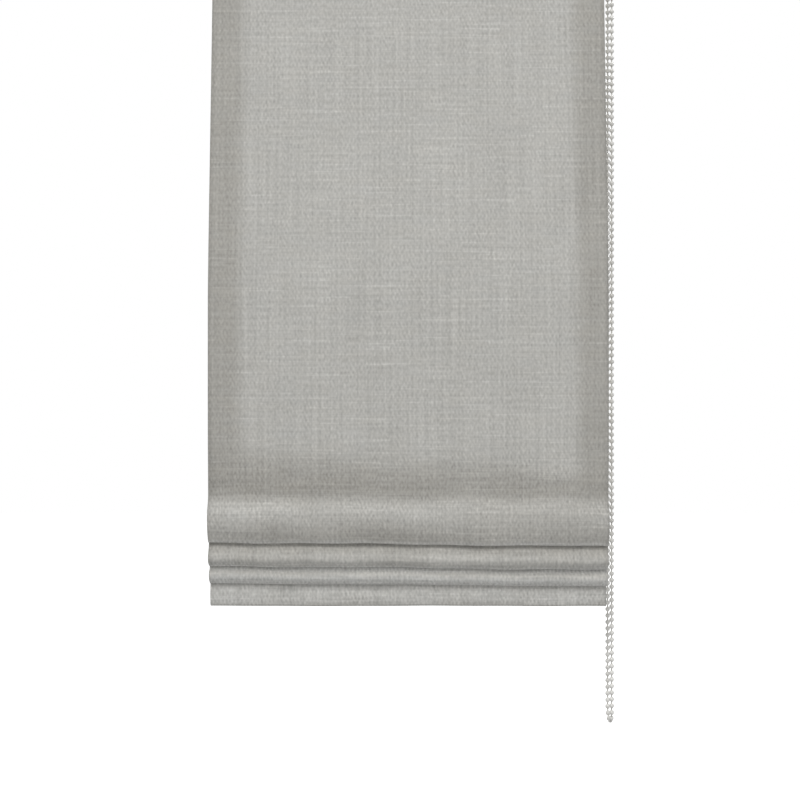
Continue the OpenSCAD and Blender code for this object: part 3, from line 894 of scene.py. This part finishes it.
def joined(objs: Sequence[Piece], name: str) -> Piece:
    """Joins objects into one.

    Args:
        objs: the objects.
        name: the name of what they become.

    Returns:
        The one object.
    """
    pick(*objs)
    bpy.ops.object.join()
    made = bpy.context.view_layer.objects.active
    made.name = made.data.name = name
    return made


def mesh_piece(name: str, points: np.ndarray, faces: Sequence[Sequence[int]]) -> Piece:
    """Makes an object from points and faces.

    Args:
        name: the piece's name.
        points: its vertices, in metres.
        faces: its faces as vertex numbers.

    Returns:
        The object, shaded smooth.
    """
    mesh = bpy.data.meshes.new(name)
    mesh.from_pydata([tuple(p) for p in points], [], [tuple(f) for f in faces])
    mesh.update()
    obj = placed(name, mesh)
    mesh.shade_smooth()
    return obj


def map_weave(obj: Piece, uv: np.ndarray) -> None:
    """Gives a mesh its weave coordinates.

    Args:
        obj: the object.
        uv: one pair to a vertex.
    """
    layer = obj.data.uv_layers.new(name=UV_NAME)
    index = np.zeros(len(obj.data.loops), np.int32)
    obj.data.loops.foreach_get("vertex_index", index)
    layer.uv.foreach_set("vector", uv[index].astype(np.float32).ravel())


def tube(name: str, path: Sequence[Vector], radius: float, sides: int) -> Piece:
    """Makes a round tube along a path.

    Args:
        name: the piece's name.
        path: the points of its middle line.
        radius: the tube's radius.
        sides: how many faces go round it.

    Returns:
        The tube, closed at both ends, with weave coordinates round and along it.
    """
    across = Vector((1, 0, 0))
    points: list[Vector] = []
    for k, place in enumerate(path):
        ahead = (path[min(k + 1, len(path) - 1)] - path[max(k - 1, 0)]).normalized()
        across = (across - ahead * across.dot(ahead)).normalized()
        up = ahead.cross(across)
        points += [place + radius * (math.cos(a) * across + math.sin(a) * up)
                   for a in (FULL_TURN * c / sides for c in range(sides))]
    rows = len(path)
    faces = [(r + c, r + (c + 1) % sides, r + sides + (c + 1) % sides, r + sides + c)
             for r in range(0, (rows - 1) * sides, sides) for c in range(sides)]
    faces += [tuple(range(sides))[::-1], tuple((rows - 1) * sides + c for c in range(sides))]
    obj = mesh_piece(name, np.array(points), faces)
    along = ClothLine.lengths(np.array(path)) / MM
    map_weave(obj, np.array([(c / sides, along[r]) for r in range(rows) for c in range(sides)]))
    return obj


def swept(course: np.ndarray, x: np.ndarray) -> np.ndarray:
    """Sweeps a course of the Y-Z plane along X.

    Args:
        course: the course's points.
        x: the places along X.

    Returns:
        A row of points to each point of the course.
    """
    points = np.zeros((len(course), len(x), 3))
    points[..., 0] = x
    points[..., 1:] = course[:, None, :]
    return points


def sheet_piece(name: str, points: np.ndarray, along: np.ndarray, thickness: float, finish: Cloth) -> Piece:
    """Makes a sheet of cloth.

    Args:
        name: the piece's name.
        points: rows of points of the sheet's middle.
        along: length along the cloth at each row.
        thickness: the cloth's thickness.
        finish: the cloth's finish, which says how its coordinates are scaled.

    Returns:
        The sheet, with its thickness and its weave coordinates.
    """
    rows, columns = points.shape[:2]
    faces = [(r + c, r + c + 1, r + columns + c + 1, r + columns + c)
             for r in range(0, (rows - 1) * columns, columns) for c in range(columns - 1)]
    obj = mesh_piece(name, points.reshape(-1, 3), faces)
    uv = np.stack(np.broadcast_arrays(points[..., 0], along[:, None]), axis=-1).reshape(-1, 2)
    map_weave(obj, uv * finish.uv_scale)
    solid = obj.modifiers.new("thickness", "SOLIDIFY")
    solid.thickness = thickness
    solid.offset = 0.0
    finish_modifiers(obj)
    return obj


def grasp(obj: Piece, test: Callable[[Vector], bool]) -> None:
    """Opens a mesh for editing with some of its faces selected.

    Args:
        obj: the object.
        test: says of the middle of a face whether it is selected.
    """
    pick(obj)
    bpy.ops.object.mode_set(mode="EDIT")
    bpy.ops.mesh.select_mode(type="FACE")
    bpy.ops.mesh.select_all(action="DESELECT")
    bpy.ops.object.mode_set(mode="OBJECT")
    for face in obj.data.polygons:
        face.select = test(face.center)
    bpy.ops.object.mode_set(mode="EDIT")


def release() -> None:
    """Closes the mesh that is open for editing, and shades it smooth."""
    bpy.ops.object.mode_set(mode="OBJECT")
    bpy.ops.object.shade_smooth()


def repeat(obj: Piece, step: Triple, count: int) -> Piece:
    """Repeats a piece along a step.

    Args:
        obj: the piece.
        step: the way from one to the next.
        count: how many there are.

    Returns:
        The row as one piece.
    """
    array = obj.modifiers.new("row", "ARRAY")
    array.use_relative_offset = False
    array.use_constant_offset = True
    array.constant_offset_displace = step
    array.count = count
    finish_modifiers(obj)
    return obj


def ease(value: np.ndarray, low: float, high: float) -> np.ndarray:
    """Gives a smooth step from 0 at low to 1 at high."""
    t = np.clip((value - low) / (high - low), 0, 1)
    return t * t * (3 - 2 * t)


def apply_finish(obj: Piece, finish: Finish) -> None:
    """Gives an object one finish.

    Args:
        obj: the object.
        finish: the finish.
    """
    obj.data.materials.clear()
    obj.data.materials.append(finish.material())


def hang(obj: Piece) -> None:
    """Puts a piece's placement into its mesh."""
    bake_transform(obj)


@dataclass(frozen=True)
class Ripple:
    """A wave across the cloth: its period in metres, its phase, and its gain in phase with height."""

    period: float
    phase: float
    climb: float = 0.0

    def at(self, x: np.ndarray, z: np.ndarray) -> np.ndarray:
        """Gives the wave at places across the cloth and their heights."""
        return np.sin(x * FULL_TURN / self.period + self.phase + self.climb * z)


@dataclass
class HangingCloth:
    """Face cloth or lining: one sheet that hangs from the headrail and gathers into the folds.

    The drops are depths below the top of the headrail, between which a sway comes in or fades out.
    """

    name: str
    node: str
    line: ClothLine
    finish: Cloth
    slot: Slot
    width: float
    offset: float
    thickness: float
    rests_on: str
    first: int = 0
    columns: int = 66
    sag: float = 0.8 * MM
    tilt: float = 1.8 * MM
    depth_sway: float = 0.3
    height_sway: float = 0.55
    second_share: float = 0.6
    hem_calm: float = 0.7
    wide: tuple[Ripple, Ripple] = (Ripple(0.21, 0.7), Ripple(0.077, 2.1, 60))
    lift: tuple[Ripple, Ripple] = (Ripple(0.19, 1.1, 40), Ripple(0.066, 0.4, 90))
    panel: Ripple = Ripple(0.31, 0.0, 9)
    gather_drop: Point = (0.44, 0.56)
    panel_drop: Point = (0.06, 0.25)
    fold_drop: Point = (0.5, 0.575)
    fold_end_drop: Point = (0.612, 0.632)
    calm_drop: Point = (0.606, 0.622)
    length: float = field(init=False)

    def unevenness(self, x: np.ndarray, z: np.ndarray) -> tuple[np.ndarray, np.ndarray]:
        """Gives the small sways of soft cloth, alike for all the layers at a place.

        Args:
            x: place across the blind.
            z: height.

        Returns:
            How far each point moves along Y and Z.
        """
        wide, lift = (a.at(x, z) + self.second_share * b.at(x, z) for a, b in (self.wide, self.lift))
        low = ease(-z, *self.gather_drop)
        panel = self.panel.at(x, z) * ease(-z, *self.panel_drop) * (1 - low)
        folds = ease(-z, *self.fold_drop) * (1 - ease(-z, *self.fold_end_drop))
        fall = -self.tilt * folds * x / (self.width / 2)
        calm = 1 - self.hem_calm * ease(-z, *self.calm_drop)
        along_y = self.sag * (self.depth_sway * low * wide + self.depth_sway * panel)
        return along_y, self.sag * self.height_sway * low * calm * lift + fall

    def build(self) -> Piece:
        """Makes the sheet's mesh.

        Returns:
            The sheet.
        """
        course = self.line.face[self.first:]
        along = self.line.lengths(course)
        x = np.linspace(-self.width / 2, self.width / 2, self.columns)
        points = swept(self.line.beside(course, self.offset), x)
        dy, dz = self.unevenness(points[..., 0], points[..., 2])
        points[..., 1] += dy
        points[..., 2] += dz
        self.length = float(along[-1])
        return sheet_piece(self.name, points, along, self.thickness, self.finish)

    def dress(self, obj: Piece) -> None:
        """Gives the sheet its finish, hides its CAD node, bakes its placement and logs its size.

        Args:
            obj: the sheet.
        """
        apply_finish(obj, self.finish)
        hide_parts(self.node)
        hang(obj)
        log.info("%s: %.0f x %.0f mm of cloth", obj.name, self.width / MM, self.length / MM)


@dataclass
class StitchRow:
    """Row of stitches along X, each with two ends that dip into the cloth.

    The straight middle is a share of a stitch, and each end has rows by their reach, dip and taper.
    """

    name: str
    start: Triple
    length: float
    stitch: float = 3.2 * MM
    pitch: float = 4.4 * MM
    radius: float = 0.25 * MM
    sides: int = 6
    straight: float = 0.55
    end_from: float = 0.49
    ends: tuple[Triple, ...] = ((0.12, 0.1 * MM, 0.8), (0.1, 0.22 * MM, 0.4))

    def build(self) -> Piece:
        """Models one stitch and repeats it.

        Returns:
            The row as one piece.
        """
        straight = self.straight * self.stitch
        middle = Vector((self.start[0] + self.stitch / 2, *self.start[1:]))
        deselect()
        bpy.ops.mesh.primitive_cylinder_add(vertices=self.sides, radius=self.radius, depth=straight,
                                            location=middle, rotation=(0, math.radians(90), 0))
        row = settle(bpy.context.active_object)
        row.name = row.data.name = self.name
        for side in (-1, 1):
            end = middle.x + side * self.end_from * straight
            grasp(row, lambda c: side * (c.x - end) > 0)
            for reach, dip, taper in self.ends:
                out = (side * reach * self.stitch, -dip, 0)
                bpy.ops.mesh.extrude_region_move(TRANSFORM_OT_translate={"value": out})
                bpy.ops.transform.resize(value=(1.0, taper, taper))
            release()
        return repeat(row, (self.pitch, 0, 0), max(2, int(self.length / self.pitch)))


@dataclass
class BattenSleeve:
    """Cloth sleeve round one batten, sewn to the lining by a narrow flap below it."""

    name: str
    node: str
    body: Body
    line: ClothLine
    on_panel: bool
    wall: float = 0.35 * MM
    ease_gap: float = 0.32 * MM
    flap: float = 5.5 * MM
    flap_rows: int = 6
    flap_set: float = 0.2 * MM
    flap_gap: float = 0.1 * MM
    flare: float = 0.14
    ring: Point = (200.0, -80.0)
    ring_rows: int = 28
    seam_row: int = 2
    seam_inset: float = 3 * MM
    columns: int = 40
    size: Point = field(init=False)
    seam: Point = field(init=False)

    def course(self) -> np.ndarray:
        """Draws the sleeve's cross-section and finds its seam.

        Returns:
            The points up the flap's front, round the rod and down the flap's back.
        """
        low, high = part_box(self.node)
        centre = ((low.y + high.y) / 2, (low.z + high.z) / 2)
        radius = (high.z - low.z) / 2 - self.wall / 2
        angles = np.radians(np.linspace(*self.ring, self.ring_rows))
        ring = np.stack([centre[0] + radius * np.cos(angles), centre[1] + radius * np.sin(angles)], axis=1)
        drop = np.linspace(0, self.flap, self.flap_rows + 1)[1:]
        z = centre[1] - radius - drop
        if self.on_panel:
            lining = np.array([self.line.lining_back(h) for h in z])
            rest = lining + self.ease_gap + self.flare * drop + self.wall / 2
        else:
            rest = np.full(len(z), centre[0] + self.flap_set)
        front = np.stack([rest, z], axis=1)
        back = front + np.array([self.wall + self.flap_gap, 0.0])
        seam = back[self.seam_row]
        self.seam = (float(seam[0] + self.wall / 2), float(seam[1]))
        return np.vstack([front[::-1], ring, back])

    def build(self) -> list[Piece]:
        """Makes the sleeve and its row of stitches.

        Returns:
            The sleeve and its stitches.
        """
        low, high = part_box(self.node)
        course = self.course()
        along = ClothLine.lengths(course)
        self.size = (high.x - low.x, float(along[-1]))
        points = swept(course, np.linspace(low.x, high.x, self.columns))
        sleeve = sheet_piece(self.name, points, along, self.wall, SATEEN)
        stitches = StitchRow(f"{self.name}_stitches", (low.x + self.seam_inset, *self.seam),
                             self.size[0] - 2 * self.seam_inset)
        return [sleeve, stitches.build()]

    def dress(self, made: Sequence[Piece]) -> None:
        """Gives the pieces their finishes and their body, hides the CAD node and logs the sleeve's size.

        Args:
            made: the sleeve and its stitches.
        """
        sleeve, stitches = made
        apply_finish(sleeve, SATEEN)
        apply_finish(stitches, SEWING)
        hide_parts(self.node)
        for obj in made:
            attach(obj, self.body.value)
        log.info("%s: %.0f x %.0f mm of cloth", sleeve.name, self.size[0] / MM, self.size[1] / MM)


@dataclass
class LiftCord:
    """Braided cord from its spool through the rings to the knot in its anchor."""

    name: str
    node: str
    x: float
    line: ClothLine
    top: Point = (-9.1 * MM, -19.4 * MM)
    foot: Point = (-27.55 * MM, -552.05 * MM)
    radius: float = 0.6 * MM
    knot: float = 1.5 * MM
    knot_reach: float = 3.0
    sides: int = 10
    rows: int = 90
    knot_rows: int = 48
    path: list[Vector] = field(init=False)

    def build(self) -> list[Piece]:
        """Makes the cord's tube and its trefoil knot.

        Returns:
            The cord and its knot.
        """
        start, end = (Vector((self.x, *p)) for p in (self.top, self.foot))
        self.path = [start.lerp(end, k / self.rows) for k in range(self.rows + 1)]
        scale = (self.knot - self.radius) / self.knot_reach
        loops = []
        for t in (FULL_TURN * k / self.knot_rows for k in range(self.knot_rows + 1)):
            trefoil = Vector((math.sin(t) + 2 * math.sin(2 * t), -math.sin(3 * t),
                              math.cos(t) - 2 * math.cos(2 * t)))
            loops.append(end + scale * trefoil)
        return [tube(name, path, self.radius, self.sides)
                for name, path in ((self.name, self.path), (f"{self.name}_knot", loops))]

    def dress(self, made: Sequence[Piece]) -> None:
        """Gives the pieces their finish, hides the CAD node, bakes the cord's placement and puts the knot
        on the stack's body.

        Args:
            made: the cord and its knot.
        """
        cord, knot = made
        for obj in made:
            apply_finish(obj, LIFT_BRAID)
        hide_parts(self.node)
        hang(cord)
        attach(knot, Body.STACK.value)


@dataclass
class BeadChain:
    """Endless bead chain that hangs in a loop from its wheel."""

    name: str = "chain"
    node: str = "bead_chain"
    x: float = 184.5 * MM
    shaft_z: float = -19.4 * MM
    bead_r: float = 2.25 * MM
    bead_sides: int = 8
    bead_rings: int = 6
    bead_poles: float = 0.85
    collar: float = 0.16 * MM
    dimple: float = 0.2 * MM
    dimple_depth: float = 0.35 * MM
    pitch: float = 6 * MM
    pockets: int = 10
    run_beads: int = 120
    run_rows: int = 120
    turn_rows: int = 19
    last_turn: float = 175.0
    thread_r: float = 0.6 * MM
    sides: int = 8
    loop_r: float = field(init=False)
    low_z: float = field(init=False)
    path: list[Vector] = field(init=False)

    def __post_init__(self) -> None:
        """Works out the wheel's radius and the chain's lowest turn."""
        self.loop_r = self.pitch / (2 * math.sin(math.pi / self.pockets))
        self.low_z = self.shaft_z - self.run_beads * self.pitch

    def on_turn(self, z: float, angle: float) -> Vector:
        """Gives the place at an angle, in radians, on the turn round a height."""
        return Vector((self.x, self.loop_r * math.cos(angle), z + self.loop_r * math.sin(angle)))

    def course(self) -> list[Vector]:
        """Draws the thread's line.

        Returns:
            Its points down the front run, round the low turn, up the back run and over the wheel.
        """
        runs = np.linspace(self.shaft_z, self.low_z, self.run_rows)
        front = [Vector((self.x, -self.loop_r, z)) for z in runs[:-1]]
        back = [Vector((self.x, self.loop_r, z)) for z in runs[-2:0:-1]]
        low, over = ([self.on_turn(z, a) for a in np.radians(np.linspace(start, end, self.turn_rows))]
                     for z, start, end in ((self.low_z, 180, 360), (self.shaft_z, 0, self.last_turn)))
        return [*front, *low, *back, *over]

    def bead(self) -> Piece:
        """Models one bead: a ball with a collar round the dimple at each pole, where the thread goes in.

        Returns:
            The bead at the origin.
        """
        deselect()
        bpy.ops.mesh.primitive_uv_sphere_add(segments=self.bead_sides, ring_count=self.bead_rings,
                                             radius=self.bead_r)
        ball = bpy.context.active_object
        grasp(ball, lambda c: abs(c.z) > self.bead_poles * self.bead_r)
        bpy.ops.mesh.inset(thickness=self.collar, depth=0.0)
        bpy.ops.mesh.inset(thickness=self.dimple, depth=-self.dimple_depth)
        release()
        return ball

    def build(self) -> list[Piece]:
        """Makes the thread and the beads on it.

        Returns:
            The thread and the beads.
        """
        self.path = self.course()
        thread = tube(f"{self.name}_thread", self.path, self.thread_r, self.sides)
        balls = []
        for side in (-1, 1):
            run = self.bead()
            run.location = (self.x, side * self.loop_r, self.shaft_z - self.pitch)
            balls.append(repeat(settle(run), (0, 0, -self.pitch), self.run_beads - 1))
        step = FULL_TURN / self.pockets
        for z, start in ((self.shaft_z, 0.0), (self.low_z, math.pi)):
            for k in range(self.pockets // 2 + 1):
                ball = self.bead()
                angle = start + k * step
                ball.location = self.on_turn(z, angle)
                ball.rotation_euler = (angle, 0, 0)
                balls.append(settle(ball))
        return [thread, joined(balls, f"{self.name}_beads")]

    def dress(self, made: Sequence[Piece]) -> None:
        """Gives the pieces their finishes and their body, and hides the CAD node.

        Args:
            made: the thread and the beads.
        """
        thread, beads = made
        apply_finish(thread, LIFT_BRAID)
        apply_finish(beads, BEAD_PLASTIC)
        for obj in made:
            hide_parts(self.node)
            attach(obj, Body.HEADRAIL.value)


@dataclass(frozen=True)
class Rounding:
    """How a shell's copy is rounded: its edges' width, its slot, and if edges are kept from overlapping."""

    width: float
    slot: Slot = Slot.WHITE_PLASTIC
    clamped: bool = True


@dataclass
class Hardware:
    """Rigid pieces whose CAD shape stays, each with its finish, and shells that get rounded edges."""

    finishes: dict[Finish, tuple[str, ...]] = field(default_factory=lambda: {
        POWDER_COAT: ("headrail",),
        WHITE_MOULDED: ("end_cap", "drive_housing", "drive_cover", "cradle_left", "cradle_right",
                        "chain_wheel", "spool_left", "spool_right", "hem_bar_caps", "cord_anchors"),
        ZINC: ("bracket_left", "bracket_right", "drive_shaft"),
        HOOK_PILE: ("hook_tape",),
        LOOP_PILE: ("loop_tape",),
        SEWING: ("winding_left", "winding_right"),
        MILL_BAR: ("hem_bar",),
        FIBRE_ROD: tuple(f"batten_{word}" for word in ("one", "two", "three", "four", "five", "six")),
        CLEAR_RING: ("stack_rings", "rings_five", "rings_six")})
    rounded: dict[str, Rounding] = field(default_factory=lambda: {
        "headrail": Rounding(0.35 * MM, Slot.RAIL, clamped=False),
        "end_cap": Rounding(0.5 * MM),
        "drive_housing": Rounding(0.5 * MM),
        "drive_cover": Rounding(0.6 * MM)})
    merge: float = 0.005 * MM
    flat_angle: float = 0.5
    sharp_angle: float = 40.0
    edge_rows: int = 2

    def round_off(self, name: str, node: Piece) -> Piece:
        """Makes a copy of a node with its sharp edges rounded.

        Args:
            name: the node's name.
            node: the node, which stays as it is.

        Returns:
            The rounded copy.
        """
        obj = placed(f"{name}_rounded", node.data.copy())
        pick(obj)
        bpy.ops.object.mode_set(mode="EDIT")
        bpy.ops.mesh.select_all(action="SELECT")
        bpy.ops.mesh.remove_doubles(threshold=self.merge)
        bpy.ops.mesh.dissolve_limited(angle_limit=math.radians(self.flat_angle))
        release()
        bevel = obj.modifiers.new("edges", "BEVEL")
        bevel.width = self.rounded[name].width
        bevel.segments = self.edge_rows
        bevel.limit_method = "ANGLE"
        bevel.angle_limit = math.radians(self.sharp_angle)
        bevel.harden_normals = True
        bevel.use_clamp_overlap = self.rounded[name].clamped
        finish_modifiers(obj)
        return obj

    def dress(self, nodes: dict[str, Piece]) -> None:
        """Gives each node its finish, and puts rounded copies in the place of the shells.

        Args:
            nodes: the CAD nodes by name.
        """
        for finish, names in self.finishes.items():
            for name in names:
                if name in self.rounded:
                    obj = self.round_off(name, nodes[name])
                    apply_finish(obj, finish)
                    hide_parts(name)
                    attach(obj, Body.HEADRAIL.value)
                    log.info("%s: %d faces with rounded edges", name, len(obj.data.polygons))
                else:
                    apply_finish(nodes[name], finish)
                    log.info("%s: %s", name, finish.name)


@dataclass(frozen=True)
class Lamp:
    """A round soft lamp: its place, its size across and its power."""

    name: str
    place: Triple
    size: float
    power: float


@dataclass
class Studio:
    """Floor, light and camera."""

    floor_z: float = -1.2
    floor_size: float = 12.0
    floor_tone: float = 0.45
    floor_rough: float = 0.9
    floor_glow: float = 0.93
    floor_shade: float = 0.3
    world: float = 0.4
    lamps: tuple[Lamp, ...] = (
        Lamp("key", (-1.305, -5.014, 5.678), 4.2, 413.0),
        Lamp("fill", (2.4, -2.6, 0.3), 1.6, 16.0),
        Lamp("back", (0.8, 3.2, 1.8), 2.2, 85.0))
    lamp_aim: Triple = (0.0, -0.03, -0.42)
    eye: Triple = (0.0, -0.976, -0.456)
    sensor: float = 36.0
    focal_px: float = 1065.0
    offset_px: float = 8.3

    def seen(self, g: Graph) -> Socket:
        """Tells the rays that see the backdrop from other light.

        Args:
            g: the graph of a material or the world.

        Returns:
            1 for the eye's rays and those of reflections and clear plastic, and 0 for the rest.
        """
        path = g.add("ShaderNodeLightPath").outputs
        mirrored = g.math("MAXIMUM", path["Is Glossy Ray"], path["Is Transmission Ray"])
        return g.math("MAXIMUM", path["Is Camera Ray"], mirrored)

    def pale_floor(self) -> Material:
        """Makes the floor's material: white to the eye save for the shadow, and pale grey to other light.

        Returns:
            The material.
        """
        material = bpy.data.materials.new("pale_floor")
        material.use_nodes = True
        g = Graph(material.node_tree)
        nodes = material.node_tree.nodes
        grey = g.wire(nodes["Principled BSDF"], {"Base Color": (self.floor_tone,) * 3,
                                                 "Roughness": self.floor_rough})
        shown = g.add("ShaderNodeBsdfDiffuse", {"Color": (self.floor_shade,) * 3})
        glow = g.add("ShaderNodeEmission", {"Strength": self.floor_glow})
        white = g.add("ShaderNodeAddShader", {0: shown.outputs[0], 1: glow.outputs[0]})
        mix = g.add("ShaderNodeMixShader", {0: self.seen(g), 1: grey.outputs[0], 2: white.outputs[0]})
        g.wire(nodes["Material Output"], {"Surface": mix.outputs[0]})
        return material

    def lay_floor(self) -> None:
        """Lays the pale floor."""
        deselect()
        bpy.ops.mesh.primitive_plane_add(size=self.floor_size, location=(0, 0, self.floor_z))
        floor = settle(bpy.context.active_object)
        floor.name = "floor"
        floor.data.materials.append(self.pale_floor())

    def light(self) -> None:
        """Hangs the soft lamps and sets the world's glow."""
        for lamp in self.lamps:
            data = bpy.data.lights.new(lamp.name, "AREA")
            data.shape = "DISK"
            data.size = lamp.size
            data.energy = lamp.power
            obj = placed(lamp.name, data)
            obj.location = lamp.place
            aim = Vector(self.lamp_aim) - Vector(lamp.place)
            obj.rotation_euler = aim.to_track_quat("-Z", "Y").to_euler()
        world = bpy.data.worlds.new("studio")
        bpy.context.scene.world = world
        world.use_nodes = True
        g = Graph(world.node_tree)
        strength = g.math("MULTIPLY_ADD", self.seen(g), 1.0 - self.world, self.world)
        g.wire(world.node_tree.nodes["Background"], {"Color": (1, 1, 1), "Strength": strength})

    def set_camera(self) -> None:
        """Sets the camera at the photograph's viewing angle."""
        data = bpy.data.cameras.new("eye")
        data.sensor_width = self.sensor
        data.lens = self.sensor * self.focal_px / PHOTO_PX
        data.shift_x = -self.offset_px / PHOTO_PX
        data.dof.use_dof = False
        camera = placed("eye", data)
        camera.location = self.eye
        camera.rotation_euler = (math.radians(90), 0, 0)
        bpy.context.scene.camera = camera

    def build(self) -> None:
        """Makes the studio."""
        self.lay_floor()
        self.light()
        self.set_camera()
        bpy.context.scene.view_settings.view_transform = "Standard"
        log.info("studio ready")


@dataclass
class Blind:
    """The whole blind: its widths, its cords' places, and each sleeve's body and if it is on the panel."""

    face_w: float = 350 * MM
    lining_w: float = 326 * MM
    cord_x: float = 105 * MM
    sleeves: tuple[tuple[str, Body, bool], ...] = (
        ("one", Body.STACK, False), ("two", Body.STACK, False), ("three", Body.STACK, False),
        ("four", Body.STACK, True), ("five", Body.BATTEN_FIVE, True), ("six", Body.BATTEN_SIX, True))
    line: ClothLine = field(default_factory=ClothLine)

    def cords(self) -> list[LiftCord | BeadChain]:
        """Gives the lift cords and the chain."""
        lift = [LiftCord(f"lift_cord_{side}_braid", f"lift_cord_{side}", x, self.line)
                for side, x in (("left", -self.cord_x), ("right", self.cord_x))]
        return [*lift, BeadChain()]

    def cloths(self) -> list[BattenSleeve | HangingCloth]:
        """Gives the sleeves, the lining and the face cloth.

        Returns:
            The cloths, from the back to the front.
        """
        line = self.line
        fourth = line.below_batten_four()
        # The folds' painted shade and light, moved to start at batten four.
        linen = replace(LINEN, tones=tuple(tone.moved(fourth) for tone in FOLD_PAINTED_SHADING))
        behind = line.face_t / 2 + line.layer_gap + line.lining_t / 2
        sleeves = [BattenSleeve(f"batten_sleeve_{word}", f"sleeve_{word}", body, line, on_panel)
                   for word, body, on_panel in self.sleeves]
        lining = HangingCloth("lining_sheet", "lining", line, SATEEN, Slot.LINING, self.lining_w, behind,
                              line.lining_t, "face_cloth", line.body_start)
        face = HangingCloth("face_sheet", "face_cloth", line, linen, Slot.FACE, self.face_w, 0.0,
                            line.face_t, "loop_tape")
        return [*sleeves, lining, face]

    def build(self) -> None:
        """Makes and dresses the cords first, then the cloths, then the hardware."""
        for part in (*self.cords(), *self.cloths()):
            part.dress(part.build())
        Hardware().dress(frame["nodes"])


def main() -> None:
    """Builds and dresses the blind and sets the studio."""
    Blind().build()
    Studio().build()
    log.info("boxes written")


if __name__ == "__main__":
    main()
